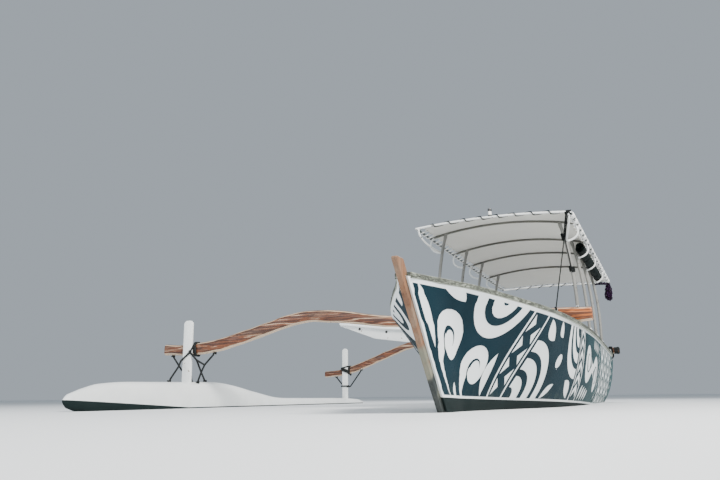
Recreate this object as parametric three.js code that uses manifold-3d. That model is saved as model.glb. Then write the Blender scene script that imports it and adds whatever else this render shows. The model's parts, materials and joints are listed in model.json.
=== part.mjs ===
// Outrigger canoe with a canopy and a tiller outboard, afloat.
//
// Millimetres. Origin on the waterline amidships, +X to the bow, +Y to port, +Z up.
// The hull is planked on a keel and a raked stem. Two curved logs lie across the
// gunwales and carry the float on two boards. A tube frame on the gunwales holds
// the canopy. The outboard hangs on the cut-down transom.

import * as THREE from 'three';
import { mergeVertices } from 'three/addons/utils/BufferGeometryUtils.js';
import Module from 'manifold-3d';

const wasm = await Module();
wasm.setup();

// Driving dimensions

const SEAT = 0.3; // gap between pieces that touch

// One row for each hull station, bow first. The planking is a lofted skin whose section
// at each station is one quadratic curve from the keel over the bilge to the sheer.
const STATIONS = [
  // sheerX, keelX, halfBeam, sheerZ, keelZ, garboardY, bilgeOut, bilgeUp
  [5490, 4180, 50, 1180, -330, 50, 1.0, 0.13],
  [5100, 3960, 195, 1174, -372, 42, 0.4, 0.5],
  [4700, 3720, 385, 1156, -392, 34, 0.4, 0.5],
  [4200, 3400, 612, 1110, -402, 30, 0.42, 0.48],
  [3600, 3020, 820, 1064, -406, 28, 0.45, 0.43],
  [2900, 2500, 920, 1050, -406, 27, 0.57, 0.27],
  [1650, 1500, 957, 1062, -402, 27, 0.84, 0.08],
  [0, 0, 962, 1056, -396, 27, 0.95, 0.02],
  [-1800, -1800, 918, 1027, -376, 27, 0.95, 0.02],
  [-3400, -3400, 880, 990, -332, 27, 0.95, 0.02],
  [-4525, -4525, 850, 962, -292, 27, 0.94, 0.02],
];
const BOW_CURVE = 0.21; // how far forward the middle control point of a raked section lies
const SKIN_STEPS = 2; // lofted steps between two stations
const STRAKE_STEPS = 4; // steps across the bottom, and across the side
const SEAM = 0.5; // where bottom and side planking meet, along the section
const SEAM_GAP = 0.0003;
const BUTTS = [0, 3, 6, 10]; // stations where the lengths of planking meet end to end
const BUTT_GAP = 0.8; // mm

const HULL = { plank: 24, keelHalf: 26, keelBelow: 50, keelAbove: 60, stemAhead: 62, stemBehind: 75 };
const STEM_TOP = { z: 1290, chamfer: 22 };
const RAIL = { depth: 80, outside: 30, inside: 45 };
const TRANSOM = { thick: 45, notchHalf: 450, notchZ: 330, top: 4 };
const SOLE = { z: -100, thick: 30, fore: 2800, aft: -3250, margin: 77 };
const FRAME_ARM = 70;
const FRAME_THICK = 34;
const FRAMES = [
  // a bulkhead is closed across, the others are open above the sole, and clear is the bedding
  { x: 3950, top: 949.7, bulkhead: true, clear: 7 },
  { x: 2600, top: 900, bulkhead: false, clear: 8 },
  { x: 800, top: 900, bulkhead: false, clear: 3.4 },
  { x: -1000, top: 880, bulkhead: false, clear: 3.4 },
  { x: -2700, top: 860, bulkhead: false, clear: 3.4 },
  { x: -3500, top: 270, bulkhead: true, clear: 2.4 },
];
const FOREDECK = { aft: 3900, fore: 5080, z: 950, thick: 26, margin: 11.2 };
const BENCH = { fore: 1300, aft: -2950, seat: 270, thick: 30, inner: 440, panel: 25, margin: 90 };
const THWART = { fore: -3360, aft: -3680, thick: 32 };

// Two curved cross logs: each row is y, top z, bottom z, from the port end outwards
const CROSS_LOGS = {
  front: {
    x: 1670,
    halfWidth: 60,
    path: [
      [1130, 1250, 1078],
      [960, 1255, 0],
      [0, 1280, 0],
      [-960, 1262, 0],
      [-1500, 1277, 1112],
      [-1740, 1297, 1130],
      [-2290, 1382, 1206],
      [-2640, 1425, 1238],
      [-2970, 1438, 1260],
      [-3280, 1400, 1213],
      [-3600, 1322, 1125],
      [-4030, 1212, 1011],
      [-4550, 1088, 884],
      [-5180, 1010, 834],
      [-5650, 1026, 850],
    ],
  },
  rear: {
    x: -4250,
    halfWidth: 55,
    path: [
      [1000, 1082, 972],
      [870, 1090, 0],
      [0, 1105, 0],
      [-870, 1100, 0],
      [-1400, 1152, 1013],
      [-2100, 1280, 1132],
      [-2750, 1386, 1228],
      [-3200, 1417, 1250],
      [-3480, 1388, 1220],
      [-4100, 1190, 1020],
      [-4700, 974, 795],
      [-5200, 810, 652],
      [-5700, 758, 618],
    ],
  },
};

// The float: each row is x, top z, bottom z, half width
const FLOAT_Y = -5145;
const FLOAT = [
  [4237, 160, 105, 18],
  [4149, 221, 40, 61],
  [3952, 286, -20, 102],
  [3676, 353, -75, 136],
  [3224, 388, -112, 157],
  [2535, 399, -130, 167],
  [1747, 409, -138, 169],
  [1058, 416, -138, 167],
  [546, 374, -136, 157],
  [-103, 275, -132, 140],
  [-989, 158, -126, 120],
  [-1993, 140, -122, 116],
  [-4050, 129, -112, 110],
  [-4847, 97, -84, 94],
  [-5133, 52, -18, 49],
];
const FLOAT_POSTS = [
  { name: 'front', log: 'front', width: 172, thick: 44, top: 1390 },
  { name: 'rear', log: 'rear', width: 142, thick: 40, top: 1278 },
];
const MORTISE = 70; // how deep a float post stands in the float

// Knees that brace the cross logs from the starboard side: outline as y, z
const KNEES = {
  front: { web: 50, cap: 118, capThick: 34, tip: [-2430, 1172], elbow: [-1880, 968], heel: [-1400, 900] },
  rear: { web: 46, cap: 104, capThick: 30, tip: [-2080, 1098], elbow: [-1660, 915], heel: [-1250, 836] },
};

// Canopy: the bows from the front edge to the rear edge, with the rise of each arch
const CANOPY = { front: 2200, rear: -3020, frontZ: 2390, rearZ: 2240, half: 1020 };
const BOWS = [
  { name: 'front', x: 2200, rise: 50 },
  { name: 'hoop_1', x: 1590, rise: 118 },
  { name: 'hoop_2', x: 470, rise: 130 },
  { name: 'hoop_3', x: -500, rise: 130 },
  { name: 'hoop_4', x: -1660, rise: 118 },
  { name: 'rear', x: -3020, rise: 24 },
];
const TUBE = { edge: 16, bow: 15, loop: 13, post: 19, sides: 10 };
const POST_TOP = 790; // where a post meets its arch
const LOOP_END = { y: 868, drop: 272 }; // where a side loop comes back to the post
const COVER = { lace: 62, thick: 4, lift: 0.6, across: 14 };
const CURTAIN = { y: 929, halfWidth: 71, halfHeight: 96, fore: 650, aft: -1800, sides: 24 };
const GARLAND = { x: -3012, y: 1000, radius: 55, length: 330 };
const LIGHT = { radius: 24, height: 82, cap: 20 };

// Outboard: tilt axis on the transom, steering axis behind it, propeller axis below
const TILT = { x: -4600, z: 400, tube: 22 };
const STEER = { x: -4690, tube: 32, low: 60, high: 440 };
const CLAMP = { half: 100, ear: 28, disc: 36, front: -4500, back: -4630, low: 110, hookLow: 235 };
const COWL = { fore: -4645, aft: -5180, low: 492, high: 850, half: 172 };
const LEG = { fore: -4752, aft: -4900, half: 52, low: -262 };
const GEARCASE = { z: -430, radius: 50, fore: -4715, aft: -5050, plateHalf: 108, skeg: -600 };
const PROP = { aft: -5136, hub: 42, radius: 142, blades: 3, pitch: 0.62 };
const TILLER = { z: 548, fore: -4085, radius: 19 };

// Helpers

const vec = (x, y, z) => new THREE.Vector3(x, y, z);
const lerp = THREE.MathUtils.lerp;

// Signed volume of an indexed closed geometry
function signedVolume(geometry) {
  const p = geometry.attributes.position;
  const index = geometry.index.array;
  const a = vec(0, 0, 0);
  const b = vec(0, 0, 0);
  const c = vec(0, 0, 0);
  let volume = 0;
  for (let i = 0; i < index.length; i += 3) {
    a.fromBufferAttribute(p, index[i]);
    b.fromBufferAttribute(p, index[i + 1]);
    c.fromBufferAttribute(p, index[i + 2]);
    volume += a.dot(b.cross(c)) / 6;
  }
  return volume;
}

// Merge the corners of a closed geometry and turn its faces outwards
function closed(geometry) {
  geometry.deleteAttribute('normal');
  geometry.deleteAttribute('uv');
  const body = mergeVertices(geometry, 1e-3);
  if (signedVolume(body) < 0) {
    const index = body.index.array;
    for (let i = 0; i < index.length; i += 3) {
      [index[i + 1], index[i + 2]] = [index[i + 2], index[i + 1]];
    }
  }
  return body;
}

function closedFrom(points, faces) {
  const geometry = new THREE.BufferGeometry();
  geometry.setFromPoints(points);
  geometry.setIndex(faces);
  return closed(geometry);
}

// A solid through rings of equal count, closed by a fan at each end
function loft(rings) {
  const n = rings[0].length;
  const points = rings.flat();
  const faces = [];
  for (let i = 0; i + 1 < rings.length; i++) {
    for (let j = 0; j < n; j++) {
      const a = i * n + j;
      const b = i * n + ((j + 1) % n);
      faces.push(a, b, a + n, b, b + n, a + n);
    }
  }
  const last = (rings.length - 1) * n;
  for (let j = 1; j + 1 < n; j++) {
    faces.push(0, j + 1, j, last, last + j, last + j + 1);
  }
  return closedFrom(points, faces);
}

// A thick sheet between an outer and an inner grid of points
function sheetSolid(outer, inner) {
  const rows = outer.length;
  const cols = outer[0].length;
  const points = [...outer.flat(), ...inner.flat()];
  const half = rows * cols;
  const faces = [];
  const quad = (a, b, c, d) => faces.push(a, b, c, a, c, d);
  for (let i = 0; i + 1 < rows; i++) {
    for (let j = 0; j + 1 < cols; j++) {
      const a = i * cols + j;
      quad(a, a + 1, a + cols + 1, a + cols);
      quad(half + a, half + a + cols, half + a + cols + 1, half + a + 1);
    }
  }
  for (let i = 0; i + 1 < rows; i++) {
    const a = i * cols;
    const b = a + cols - 1;
    quad(a, a + cols, half + a + cols, half + a);
    quad(b + cols, b, half + b, half + b + cols);
  }
  for (let j = 0; j + 1 < cols; j++) {
    const b = (rows - 1) * cols + j;
    quad(j, half + j, half + j + 1, j + 1);
    quad(b, b + 1, half + b + 1, half + b);
  }
  return closedFrom(points, faces);
}

// An outline's port half, and its mirror image back to the start
function bothSides(port) {
  return [...port, ...port.map(([x, y]) => [x, -y]).reverse()];
}

function box(x0, x1, y0, y1, z0, z1) {
  const geometry = new THREE.BoxGeometry(x1 - x0, y1 - y0, z1 - z0);
  geometry.translate((x0 + x1) / 2, (y0 + y1) / 2, (z0 + z1) / 2);
  return closed(geometry);
}

function extruded(points, depth) {
  const shape = new THREE.Shape(points.map(([a, b]) => new THREE.Vector2(a, b)));
  return new THREE.ExtrudeGeometry(shape, { depth, bevelEnabled: false });
}

// Plates from an outline: along Z, along Y and along X
function plateXY(points, z0, z1) {
  return closed(extruded(points, z1 - z0).translate(0, 0, z0));
}

function plateXZ(points, y0, y1) {
  return closed(extruded(points, y1 - y0).rotateX(Math.PI / 2).translate(0, y1, 0));
}

function plateYZ(points, x0, x1) {
  const turn = new THREE.Matrix4().makeBasis(vec(0, 1, 0), vec(0, 0, 1), vec(1, 0, 0));
  return closed(extruded(points, x1 - x0).applyMatrix4(turn).translate(x0, 0, 0));
}

function tube(curve, radius, steps) {
  const section = new THREE.Shape();
  for (let i = 0; i < TUBE.sides; i++) {
    const a = (2 * Math.PI * i) / TUBE.sides;
    if (i === 0) section.moveTo(radius, 0);
    else section.lineTo(radius * Math.cos(a), radius * Math.sin(a));
  }
  return closed(new THREE.ExtrudeGeometry(section, { steps, extrudePath: curve, bevelEnabled: false }));
}

// A turned solid about an axis through `at`, from rows of [radius, distance]
function turned(rows, at, axis, segments = 20) {
  const profile = rows.map(([r, s]) => new THREE.Vector2(r, s));
  const geometry = new THREE.LatheGeometry(profile, segments);
  const turn = new THREE.Quaternion().setFromUnitVectors(vec(0, 1, 0), axis);
  return closed(geometry.applyQuaternion(turn).translate(at.x, at.y, at.z));
}

function rod(at, axis, radius, from, to, segments = 20) {
  return turned([[0, from], [radius, from], [radius, to], [0, to]], at, axis, segments);
}

function solidOf(geometry) {
  const vertProperties = new Float32Array(geometry.attributes.position.array);
  const triVerts = new Uint32Array(geometry.index.array);
  return new wasm.Manifold(new wasm.Mesh({ numProp: 3, vertProperties, triVerts }));
}

function geometryOf(solid) {
  const mesh = solid.getMesh();
  const geometry = new THREE.BufferGeometry();
  geometry.setAttribute('position', new THREE.BufferAttribute(mesh.vertProperties, 3));
  geometry.setIndex(new THREE.BufferAttribute(mesh.triVerts, 1));
  return closed(geometry);
}

function joined(...parts) {
  return geometryOf(parts.map(solidOf).reduce((a, b) => a.add(b)));
}

function cut(body, ...tools) {
  return geometryOf(tools.map(solidOf).reduce((a, b) => a.subtract(b), solidOf(body)));
}

// Straight lines between the rows of a table, whose first column falls or rises
function fromTable(rows, key, column) {
  const rising = rows[rows.length - 1][0] > rows[0][0];
  let i = 0;
  while (i + 2 < rows.length && (rising ? rows[i + 1][0] < key : rows[i + 1][0] > key)) i++;
  const share = (key - rows[i][0]) / (rows[i + 1][0] - rows[i][0]);
  return lerp(rows[i][column], rows[i + 1][column], share);
}

// The hull's surface

// One column of the station table, smooth along the hull
function station(s, column) {
  const last = STATIONS.length - 1;
  const i = Math.min(Math.floor(s), last - 1);
  const f = s - i;
  const at = (k) => STATIONS[THREE.MathUtils.clamp(k, 0, last)][column];
  const [a, b, c, d] = [at(i - 1), at(i), at(i + 1), at(i + 2)];
  const square = 2 * a - 5 * b + 4 * c - d;
  const cube = 3 * b - a - 3 * c + d;
  return 0.5 * (2 * b + (c - a) * f + square * f * f + cube * f ** 3);
}

function bezier(a, b, c, t) {
  return a * (1 - t) ** 2 + 2 * b * t * (1 - t) + c * t * t;
}

// A point on the outside of the port planking: s runs aft by stations, t from keel to sheer
function skin(s, t) {
  const columns = STATIONS[0].map((_, column) => station(s, column));
  const [sheerX, keelX, half, sheerZ, keelZ, garboard, out, up] = columns;
  const top = sheerZ - RAIL.depth;
  const x = bezier(keelX, lerp(keelX, sheerX, BOW_CURVE), sheerX, t);
  const y = bezier(garboard, Math.max(garboard, half * out), half, t);
  const z = bezier(keelZ, lerp(keelZ, top, up), top, t);
  return vec(x, y, z);
}

// The inside of the port planking, which never crosses the side of the keel
function lining(s, t) {
  const step = 0.01;
  const last = STATIONS.length - 1;
  const p = skin(s, t);
  const along = skin(Math.min(s + step, last), t).sub(skin(Math.max(s - step, 0), t));
  const up = skin(s, Math.min(t + step, 1)).sub(skin(s, Math.max(t - step, 0)));
  const inwards = along.cross(up).normalize();
  if (inwards.y > 0) inwards.negate();
  p.addScaledVector(inwards, HULL.plank);
  p.y = Math.max(p.y, HULL.keelHalf + SEAT);
  p.x = Math.max(p.x, STATIONS[last][0]);
  p.z = Math.min(p.z, station(s, 3) - RAIL.depth - 1.2);
  return p;
}

const SKIN_ROWS = (STATIONS.length - 1) * SKIN_STEPS;
const skinRow = (i) => i / SKIN_STEPS;

// The section of the lining at one x, as points from keel to sheer
function liningAt(x) {
  const points = [];
  for (let j = 0; j <= 2 * STRAKE_STEPS; j++) {
    const t = j / (2 * STRAKE_STEPS);
    let rows = [];
    for (let i = 0; i <= SKIN_ROWS; i++) rows.push(lining(skinRow(i), t));
    rows = rows.map((p) => [p.x, p.y, p.z]);
    if (x > rows[0][0]) continue;
    points.push([fromTable(rows, x, 1), fromTable(rows, x, 2)]);
  }
  return points;
}

// Half the room between the linings at one x and height
function roomAt(x, z) {
  const rows = liningAt(x).map(([y, height]) => [height, y]);
  return fromTable(rows, z, 1);
}

// The top of a gunwale: x, half beam and height of each lofted row
const SHEER = Array.from({ length: SKIN_ROWS + 1 }, (_, i) => {
  const s = skinRow(i);
  return [station(s, 0), station(s, 2), station(s, 3)];
});
// the rails run on over the transom
SHEER.push([SHEER[SKIN_ROWS][0] - TRANSOM.thick, SHEER[SKIN_ROWS][1] - 3, SHEER[SKIN_ROWS][2] - 1]);
const railTop = (x) => fromTable(SHEER, x, 2);
const railHalf = (x) => fromTable(SHEER, x, 1);

// Hull pieces

// One length of a strake: t runs from its lower to its upper edge, s from its fore to its aft end
function planking(side, from, to, fore, aft) {
  const outer = [];
  const inner = [];
  const open = fore > 0 ? BUTT_GAP / (STATIONS[fore][0] - STATIONS[fore + 1][0]) : 0;
  for (let i = fore * SKIN_STEPS; i <= aft * SKIN_STEPS; i++) {
    const s = Math.max(skinRow(i), fore + open);
    const rowOut = [];
    const rowIn = [];
    for (let j = 0; j <= STRAKE_STEPS; j++) {
      const t = lerp(from, to, j / STRAKE_STEPS);
      rowOut.push(skin(s, t).multiply(vec(1, side, 1)));
      rowIn.push(lining(s, t).multiply(vec(1, side, 1)));
    }
    outer.push(rowOut);
    inner.push(rowIn);
  }
  return sheetSolid(outer, inner);
}

function gunwale(side) {
  const rings = SHEER.map(([x, half, z]) => {
    const inside = side * Math.max(half - RAIL.inside, HULL.keelHalf + SEAT);
    const outside = side * (half + RAIL.outside);
    const low = z - RAIL.depth + SEAT;
    return [vec(x, inside, low), vec(x, outside, low), vec(x, outside, z), vec(x, inside, z)];
  });
  return loft(rings);
}

// The bow's profile in the middle plane, with the outward direction at each point
function bowProfile(t) {
  const p = skin(0, t);
  const q = skin(0, t + 0.01);
  const along = new THREE.Vector2(q.x - p.x, q.z - p.z).normalize();
  return { x: p.x, z: p.z, outX: along.y, outZ: -along.x, along };
}

const FOREFOOT = [HULL.stemAhead, -HULL.stemBehind].map((d) => {
  const p = bowProfile(0);
  return [p.x + d * p.outX, p.z + d * p.outZ];
});

function stemPost() {
  const front = [];
  const back = [];
  for (let i = 0; i <= 8; i++) {
    const p = bowProfile(i / 8);
    front.push([p.x + HULL.stemAhead * p.outX, p.z + HULL.stemAhead * p.outZ]);
    back.push([p.x - HULL.stemBehind * p.outX, p.z - HULL.stemBehind * p.outZ]);
  }
  const end = bowProfile(1);
  const slope = end.along.x / end.along.y;
  const rise = (point, z) => [point[0] + slope * (z - point[1]), z];
  const { z, chamfer } = STEM_TOP;
  const frontTop = rise(front[8], z - chamfer);
  const backTop = rise(back[8], z - chamfer);
  const top = [
    [frontTop[0] - chamfer * 0.2, z - chamfer * 0.3],
    [frontTop[0] - chamfer, z],
    [backTop[0] + chamfer * 1.6, z],
    [backTop[0] + chamfer * 0.5, z - chamfer * 0.3],
  ];
  const outline = [...front, frontTop, ...top, backTop, ...back.reverse()];
  return plateXZ(outline, -HULL.keelHalf, HULL.keelHalf);
}

function keel() {
  const last = STATIONS.length - 1;
  const low = [];
  const high = [];
  for (let i = 2; i <= last; i++) {
    const [, x, , , z] = STATIONS[i];
    low.push([x, z - HULL.keelBelow]);
    high.push([x, z + HULL.keelAbove]);
  }
  const [foot, head] = FOREFOOT.map(([x, z]) => [x - 2 * SEAT, z]);
  const outline = [foot, ...low, ...high.reverse(), head];
  return plateXZ(outline, -HULL.keelHalf, HULL.keelHalf);
}

function transom() {
  const last = STATIONS.length - 1;
  const aft = STATIONS[last][0] - SEAT;
  const halfOutline = [];
  for (let j = 0; j <= 2 * STRAKE_STEPS; j++) {
    const p = skin(last, j / (2 * STRAKE_STEPS));
    halfOutline.push([p.y, p.z]);
  }
  const top = halfOutline[halfOutline.length - 1][1] - TRANSOM.top;
  halfOutline[halfOutline.length - 1][1] = top;
  const keelFoot = STATIONS[last][4] - HULL.keelBelow;
  const port = [
    [HULL.keelHalf, keelFoot],
    ...halfOutline,
    [TRANSOM.notchHalf + 60, top],
    [TRANSOM.notchHalf, TRANSOM.notchZ + 60],
    [TRANSOM.notchHalf - 60, TRANSOM.notchZ],
  ];
  const starboard = port.map(([y, z]) => [-y, z]).reverse();
  return plateYZ([...port, ...starboard], aft - TRANSOM.thick, aft);
}

function frame({ x, top, bulkhead, clear }) {
  const x0 = x - FRAME_THICK / 2;
  const x1 = x + FRAME_THICK / 2;
  const fore = liningAt(x1);
  const rear = liningAt(x0);
  const keelTop = fromTable(STATIONS.map((row) => [row[1], row[4]]), x, 1) + HULL.keelAbove;
  const outside = [];
  rear.forEach(([y, z], j) => {
    const other = fore[j];
    if (other && z < top && y > HULL.keelHalf + 6) {
      outside.push([Math.min(y, other[0]) - clear, Math.max(z, other[1]) + clear]);
    }
  });
  const topHalf = Math.min(roomAt(x0, top), roomAt(x1, top)) - clear;
  outside.push([topHalf, top]);
  const foot = Math.max(outside[0][1], keelTop + 1);
  const port = [[HULL.keelHalf + 4, foot], ...outside];
  if (!bulkhead) {
    port.push([topHalf - FRAME_ARM, top]);
    const levels = [BENCH.seat + 2 * BENCH.thick, BENCH.seat, 60, SOLE.z];
    port.push(...levels.map((z) => [roomAt(x, z) - FRAME_ARM, z]));
  }
  const starboard = port.map(([y, z]) => [-y, z]).reverse();
  return plateYZ([...port, ...starboard], x0, x1);
}

function foredeck() {
  const steps = 12;
  const edge = [];
  for (let i = 0; i <= steps; i++) {
    const x = lerp(FOREDECK.aft, FOREDECK.fore, i / steps);
    edge.push([x, Math.max(roomAt(x, FOREDECK.z) - FOREDECK.margin, HULL.keelHalf + 4)]);
  }
  return plateXY(bothSides(edge), FOREDECK.z, FOREDECK.z + FOREDECK.thick);
}

function sole() {
  const steps = 8;
  const edge = [];
  for (let i = 0; i <= steps; i++) {
    const x = lerp(SOLE.aft, SOLE.fore, i / steps);
    edge.push([x, roomAt(x, SOLE.z) - SOLE.margin]);
  }
  return plateXY(bothSides(edge), SOLE.z + SEAT, SOLE.z + SOLE.thick);
}

function bench(side) {
  const steps = 5;
  const seatEdge = [];
  for (let i = 0; i <= steps; i++) {
    const x = lerp(BENCH.aft, BENCH.fore, i / steps);
    seatEdge.push([x, side * (roomAt(x, BENCH.seat) - BENCH.margin)]);
  }
  const inner = side * BENCH.inner;
  const seat = [...seatEdge, [BENCH.fore, inner], [BENCH.aft, inner]];
  const low = BENCH.seat;
  const panelY = [inner, inner + side * BENCH.panel].sort((a, b) => a - b);
  const panel = box(BENCH.aft, BENCH.fore, panelY[0], panelY[1], SOLE.z + SOLE.thick + SEAT, low + 1);
  return joined(plateXY(seat, low, low + BENCH.thick), panel);
}

function helmThwart() {
  const low = FRAMES[FRAMES.length - 1].top + SEAT;
  const clear = 6;
  const at = (x) => roomAt(x, low) - clear;
  const { fore, aft } = THWART;
  const outline = [[aft, -at(aft)], [fore, -at(fore)], [fore, at(fore)], [aft, at(aft)]];
  return plateXY(outline, low, low + THWART.thick);
}

function bowBitt() {
  const x = 4560;
  const low = FOREDECK.z + FOREDECK.thick + SEAT;
  const post = box(x - 38, x + 38, -38, 38, low, low + 250);
  const bar = rod(vec(x, 0, low + 165), vec(0, 1, 0), 16, -130, 130, 12);
  return joined(post, bar);
}

function sternCleat(side) {
  const x = -3950;
  const y = side * railHalf(x);
  const top = Math.max(railTop(x - 70), railTop(x + 70)) + SEAT;
  const base = box(x - 50, x + 50, y - 22, y + 22, top, top + 12);
  const neck = box(x - 26, x + 26, y - 11, y + 11, top + 10, top + 40);
  const horns = rod(vec(x, y, top + 46), vec(1, 0, 0), 11, -95, 95, 10);
  return joined(base, neck, horns);
}

// Outrigger pieces

// The rows of a cross log, with its bottom seated on the gunwales where it crosses them
function logRows({ x, halfWidth, path }) {
  const seat = Math.max(railTop(x - halfWidth), railTop(x + halfWidth)) + SEAT;
  return path.map(([y, top, low]) => [y, top, low === 0 ? seat : low]);
}

function logBottom(log, y) {
  return fromTable(logRows(log), y, 2);
}

function crossLog(log) {
  const rows = logRows(log);
  const smooth = [];
  for (let i = 0; i < rows.length; i++) {
    smooth.push(rows[i]);
    const next = rows[i + 1];
    if (next && Math.abs(next[0] - rows[i][0]) > 900) smooth.push(rows[i].map((v, k) => (v + next[k]) / 2));
  }
  const sides = 10;
  const rings = smooth.map(([y, top, low], i) => {
    const before = smooth[Math.max(i - 1, 0)];
    const after = smooth[Math.min(i + 1, smooth.length - 1)];
    const slope = (after[1] - before[1]) / (after[0] - before[0]);
    const ring = [];
    for (let k = 0; k < sides; k++) {
      // a squarish oval with a flat bottom
      const a = (2 * Math.PI * (k + 0.5)) / sides;
      const flat = 1 / Math.cos(Math.PI / sides);
      const across = Math.min(1, Math.abs(Math.cos(a)) * flat) * Math.sign(Math.cos(a));
      const height = Math.min(1, Math.abs(Math.sin(a)) * flat) * Math.sign(Math.sin(a));
      const z = (top + low) / 2 + (height * (top - low)) / 2;
      const lean = low > 1070 || low < 970 ? -slope * 0.5 * (z - (top + low) / 2) : 0;
      ring.push(vec(log.x + across * log.halfWidth, y + lean, z));
    }
    return ring;
  });
  return loft(rings);
}

function floatPostBox({ log, width, thick, top }, clear) {
  const { x, halfWidth } = CROSS_LOGS[log];
  const aft = x + halfWidth + SEAT;
  const seat = fromTable(FLOAT, aft + thick / 2, 1);
  const reach = width / 2 + clear;
  const foot = seat - MORTISE - clear;
  return box(aft - clear, aft + thick + clear, FLOAT_Y - reach, FLOAT_Y + reach, foot, top);
}

// A post stands against the fore side of its log
function floatPost(spec) {
  const half = spec.width / 2;
  const round = 40;
  const body = floatPostBox(spec, 0);
  const corner = (side) => {
    const y = FLOAT_Y + side * half;
    const wedge = [[y - side * round, spec.top + 1], [y + side, spec.top + 1], [y + side, spec.top - round]];
    return plateYZ(side > 0 ? wedge.reverse() : wedge, CROSS_LOGS[spec.log].x, CROSS_LOGS[spec.log].x + 200);
  };
  return cut(body, corner(1), corner(-1));
}

function float() {
  const sides = 12;
  const rings = FLOAT.map(([x, top, low, half]) => {
    const ring = [];
    for (let k = 0; k < sides; k++) {
      const a = (2 * Math.PI * k) / sides;
      ring.push(vec(x, FLOAT_Y + half * Math.cos(a), (top + low) / 2 + ((top - low) / 2) * Math.sin(a)));
    }
    return ring;
  });
  return cut(loft(rings), ...FLOAT_POSTS.map((spec) => floatPostBox(spec, SEAT)));
}

// A wedge under a cross log: a cap plank along the log and a web down to the hull side
function knee(log, { web, cap, capThick, tip, elbow, heel }) {
  const { x } = log;
  const rail = -(Math.max(railHalf(x - cap / 2), railHalf(x + cap / 2)) + RAIL.outside + 2 * SEAT);
  const under = (y) => logBottom(log, y) - 3;
  const between = logRows(log).map((row) => row[0]).filter((y) => y < rail && y > tip[0]);
  const top = [rail, ...between, tip[0]].map((y) => [y, under(y)]);
  const foot = [rail, heel[1] - 12];
  const webOutline = [...top, tip, elbow, heel, foot];
  const capOutline = [...top, ...top.map(([y, z]) => [y, z - capThick]).reverse()];
  return joined(
    plateYZ(webOutline, x - web / 2, x + web / 2),
    plateYZ(capOutline, x - cap / 2, x + cap / 2),
  );
}

// Canopy pieces

const edgeZ = (x) => lerp(CANOPY.frontZ, CANOPY.rearZ, (CANOPY.front - x) / (CANOPY.front - CANOPY.rear));
const riseAt = (x) => fromTable(BOWS.map((bow) => [bow.x, bow.rise]), x, 1);
const archZ = (x, y) => edgeZ(x) + riseAt(x) * (1 - (y / CANOPY.half) ** 2);

// The part of an arch between -y and +y, which is exactly one quadratic curve
function arch(x, y) {
  const low = archZ(x, y);
  const crown = 2 * archZ(x, 0) - low;
  return new THREE.QuadraticBezierCurve3(vec(x, -y, low), vec(x, 0, crown), vec(x, y, low));
}

// The half loop that hangs from an arch's end and comes back to the post
function loopCurve(x, side) {
  const z = archZ(x, 972);
  return new THREE.CubicBezierCurve3(
    vec(x, side * 972, z - 6),
    vec(x, side * 1034, z - 70),
    vec(x, side * 1062, z - 268),
    vec(x, side * LOOP_END.y, z - LOOP_END.drop),
  );
}

function hoop({ x }) {
  const foot = Math.max(railTop(x - 40), railTop(x + 40)) + SEAT;
  const footY = railHalf(x) - 6;
  const parts = [tube(arch(x, CANOPY.half - TUBE.edge + SEAT), TUBE.bow, 20)];
  for (const side of [1, -1]) {
    const top = vec(x, side * POST_TOP, archZ(x, POST_TOP));
    const bend = vec(x, side * (LOOP_END.y + 30), archZ(x, 972) - LOOP_END.drop - 180);
    const low = vec(x, side * footY, foot + 4);
    parts.push(tube(new THREE.QuadraticBezierCurve3(top, bend, low), TUBE.post, 8));
    parts.push(tube(loopCurve(x, side), TUBE.loop, 12));
    parts.push(rod(vec(x, side * footY, foot), vec(0, 0, 1), 36, 0, 9, 12));
  }
  return joined(...parts);
}

// Front edge of the canopy, with a curved brace at each corner that runs back to a post
function frontBow() {
  const { front: x, half } = CANOPY;
  const first = BOWS[1].x;
  const parts = [tube(arch(x, half + TUBE.edge - 2), TUBE.bow, 20)];
  for (const side of [1, -1]) {
    const z = archZ(x, half - 20);
    const brace = new THREE.CubicBezierCurve3(
      vec(x, side * (half - 26), z - 4),
      vec(x - 10, side * (half - 8), z - 190),
      vec(x - 250, side * (LOOP_END.y + 40), z - 300),
      vec(first + TUBE.post + 14, side * (LOOP_END.y + 4), archZ(first, 972) - LOOP_END.drop - 12),
    );
    parts.push(tube(brace, TUBE.loop, 12));
  }
  return joined(...parts);
}

function rearBow() {
  return tube(arch(CANOPY.rear, CANOPY.half + TUBE.edge - 2), TUBE.bow, 20);
}

function edgeRail(side) {
  const { front, rear, half } = CANOPY;
  const at = (x) => vec(x, side * half, edgeZ(x));
  const gap = TUBE.bow + SEAT;
  return tube(new THREE.LineCurve3(at(front - gap), at(rear + gap)), TUBE.edge, 1);
}

// The laced cover lies on the hoops, inside the frame's edge
function cover() {
  const fore = CANOPY.front - COVER.lace;
  const aft = CANOPY.rear + COVER.lace;
  const half = CANOPY.half - COVER.lace;
  const xs = [fore, ...BOWS.slice(1, -1).map((bow) => bow.x), aft];
  const lift = TUBE.bow * 1.033 + COVER.lift;
  const rows = (extra) => xs.map((x) => {
    const row = [];
    for (let j = 0; j <= COVER.across; j++) {
      const y = lerp(-half, half, j / COVER.across);
      row.push(vec(x, y, archZ(x, y) + lift + extra));
    }
    return row;
  });
  return sheetSolid(rows(COVER.thick), rows(0));
}

// The outline of the rolled curtain at x, taller than it is wide, with its middle at z
function curtainRing(x, z, count) {
  const { y, halfWidth, halfHeight } = CURTAIN;
  return Array.from({ length: count }, (_, k) => {
    const a = (2 * Math.PI * k) / count;
    return vec(x, y + halfWidth * Math.cos(a), z + halfHeight * Math.sin(a));
  });
}

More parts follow.
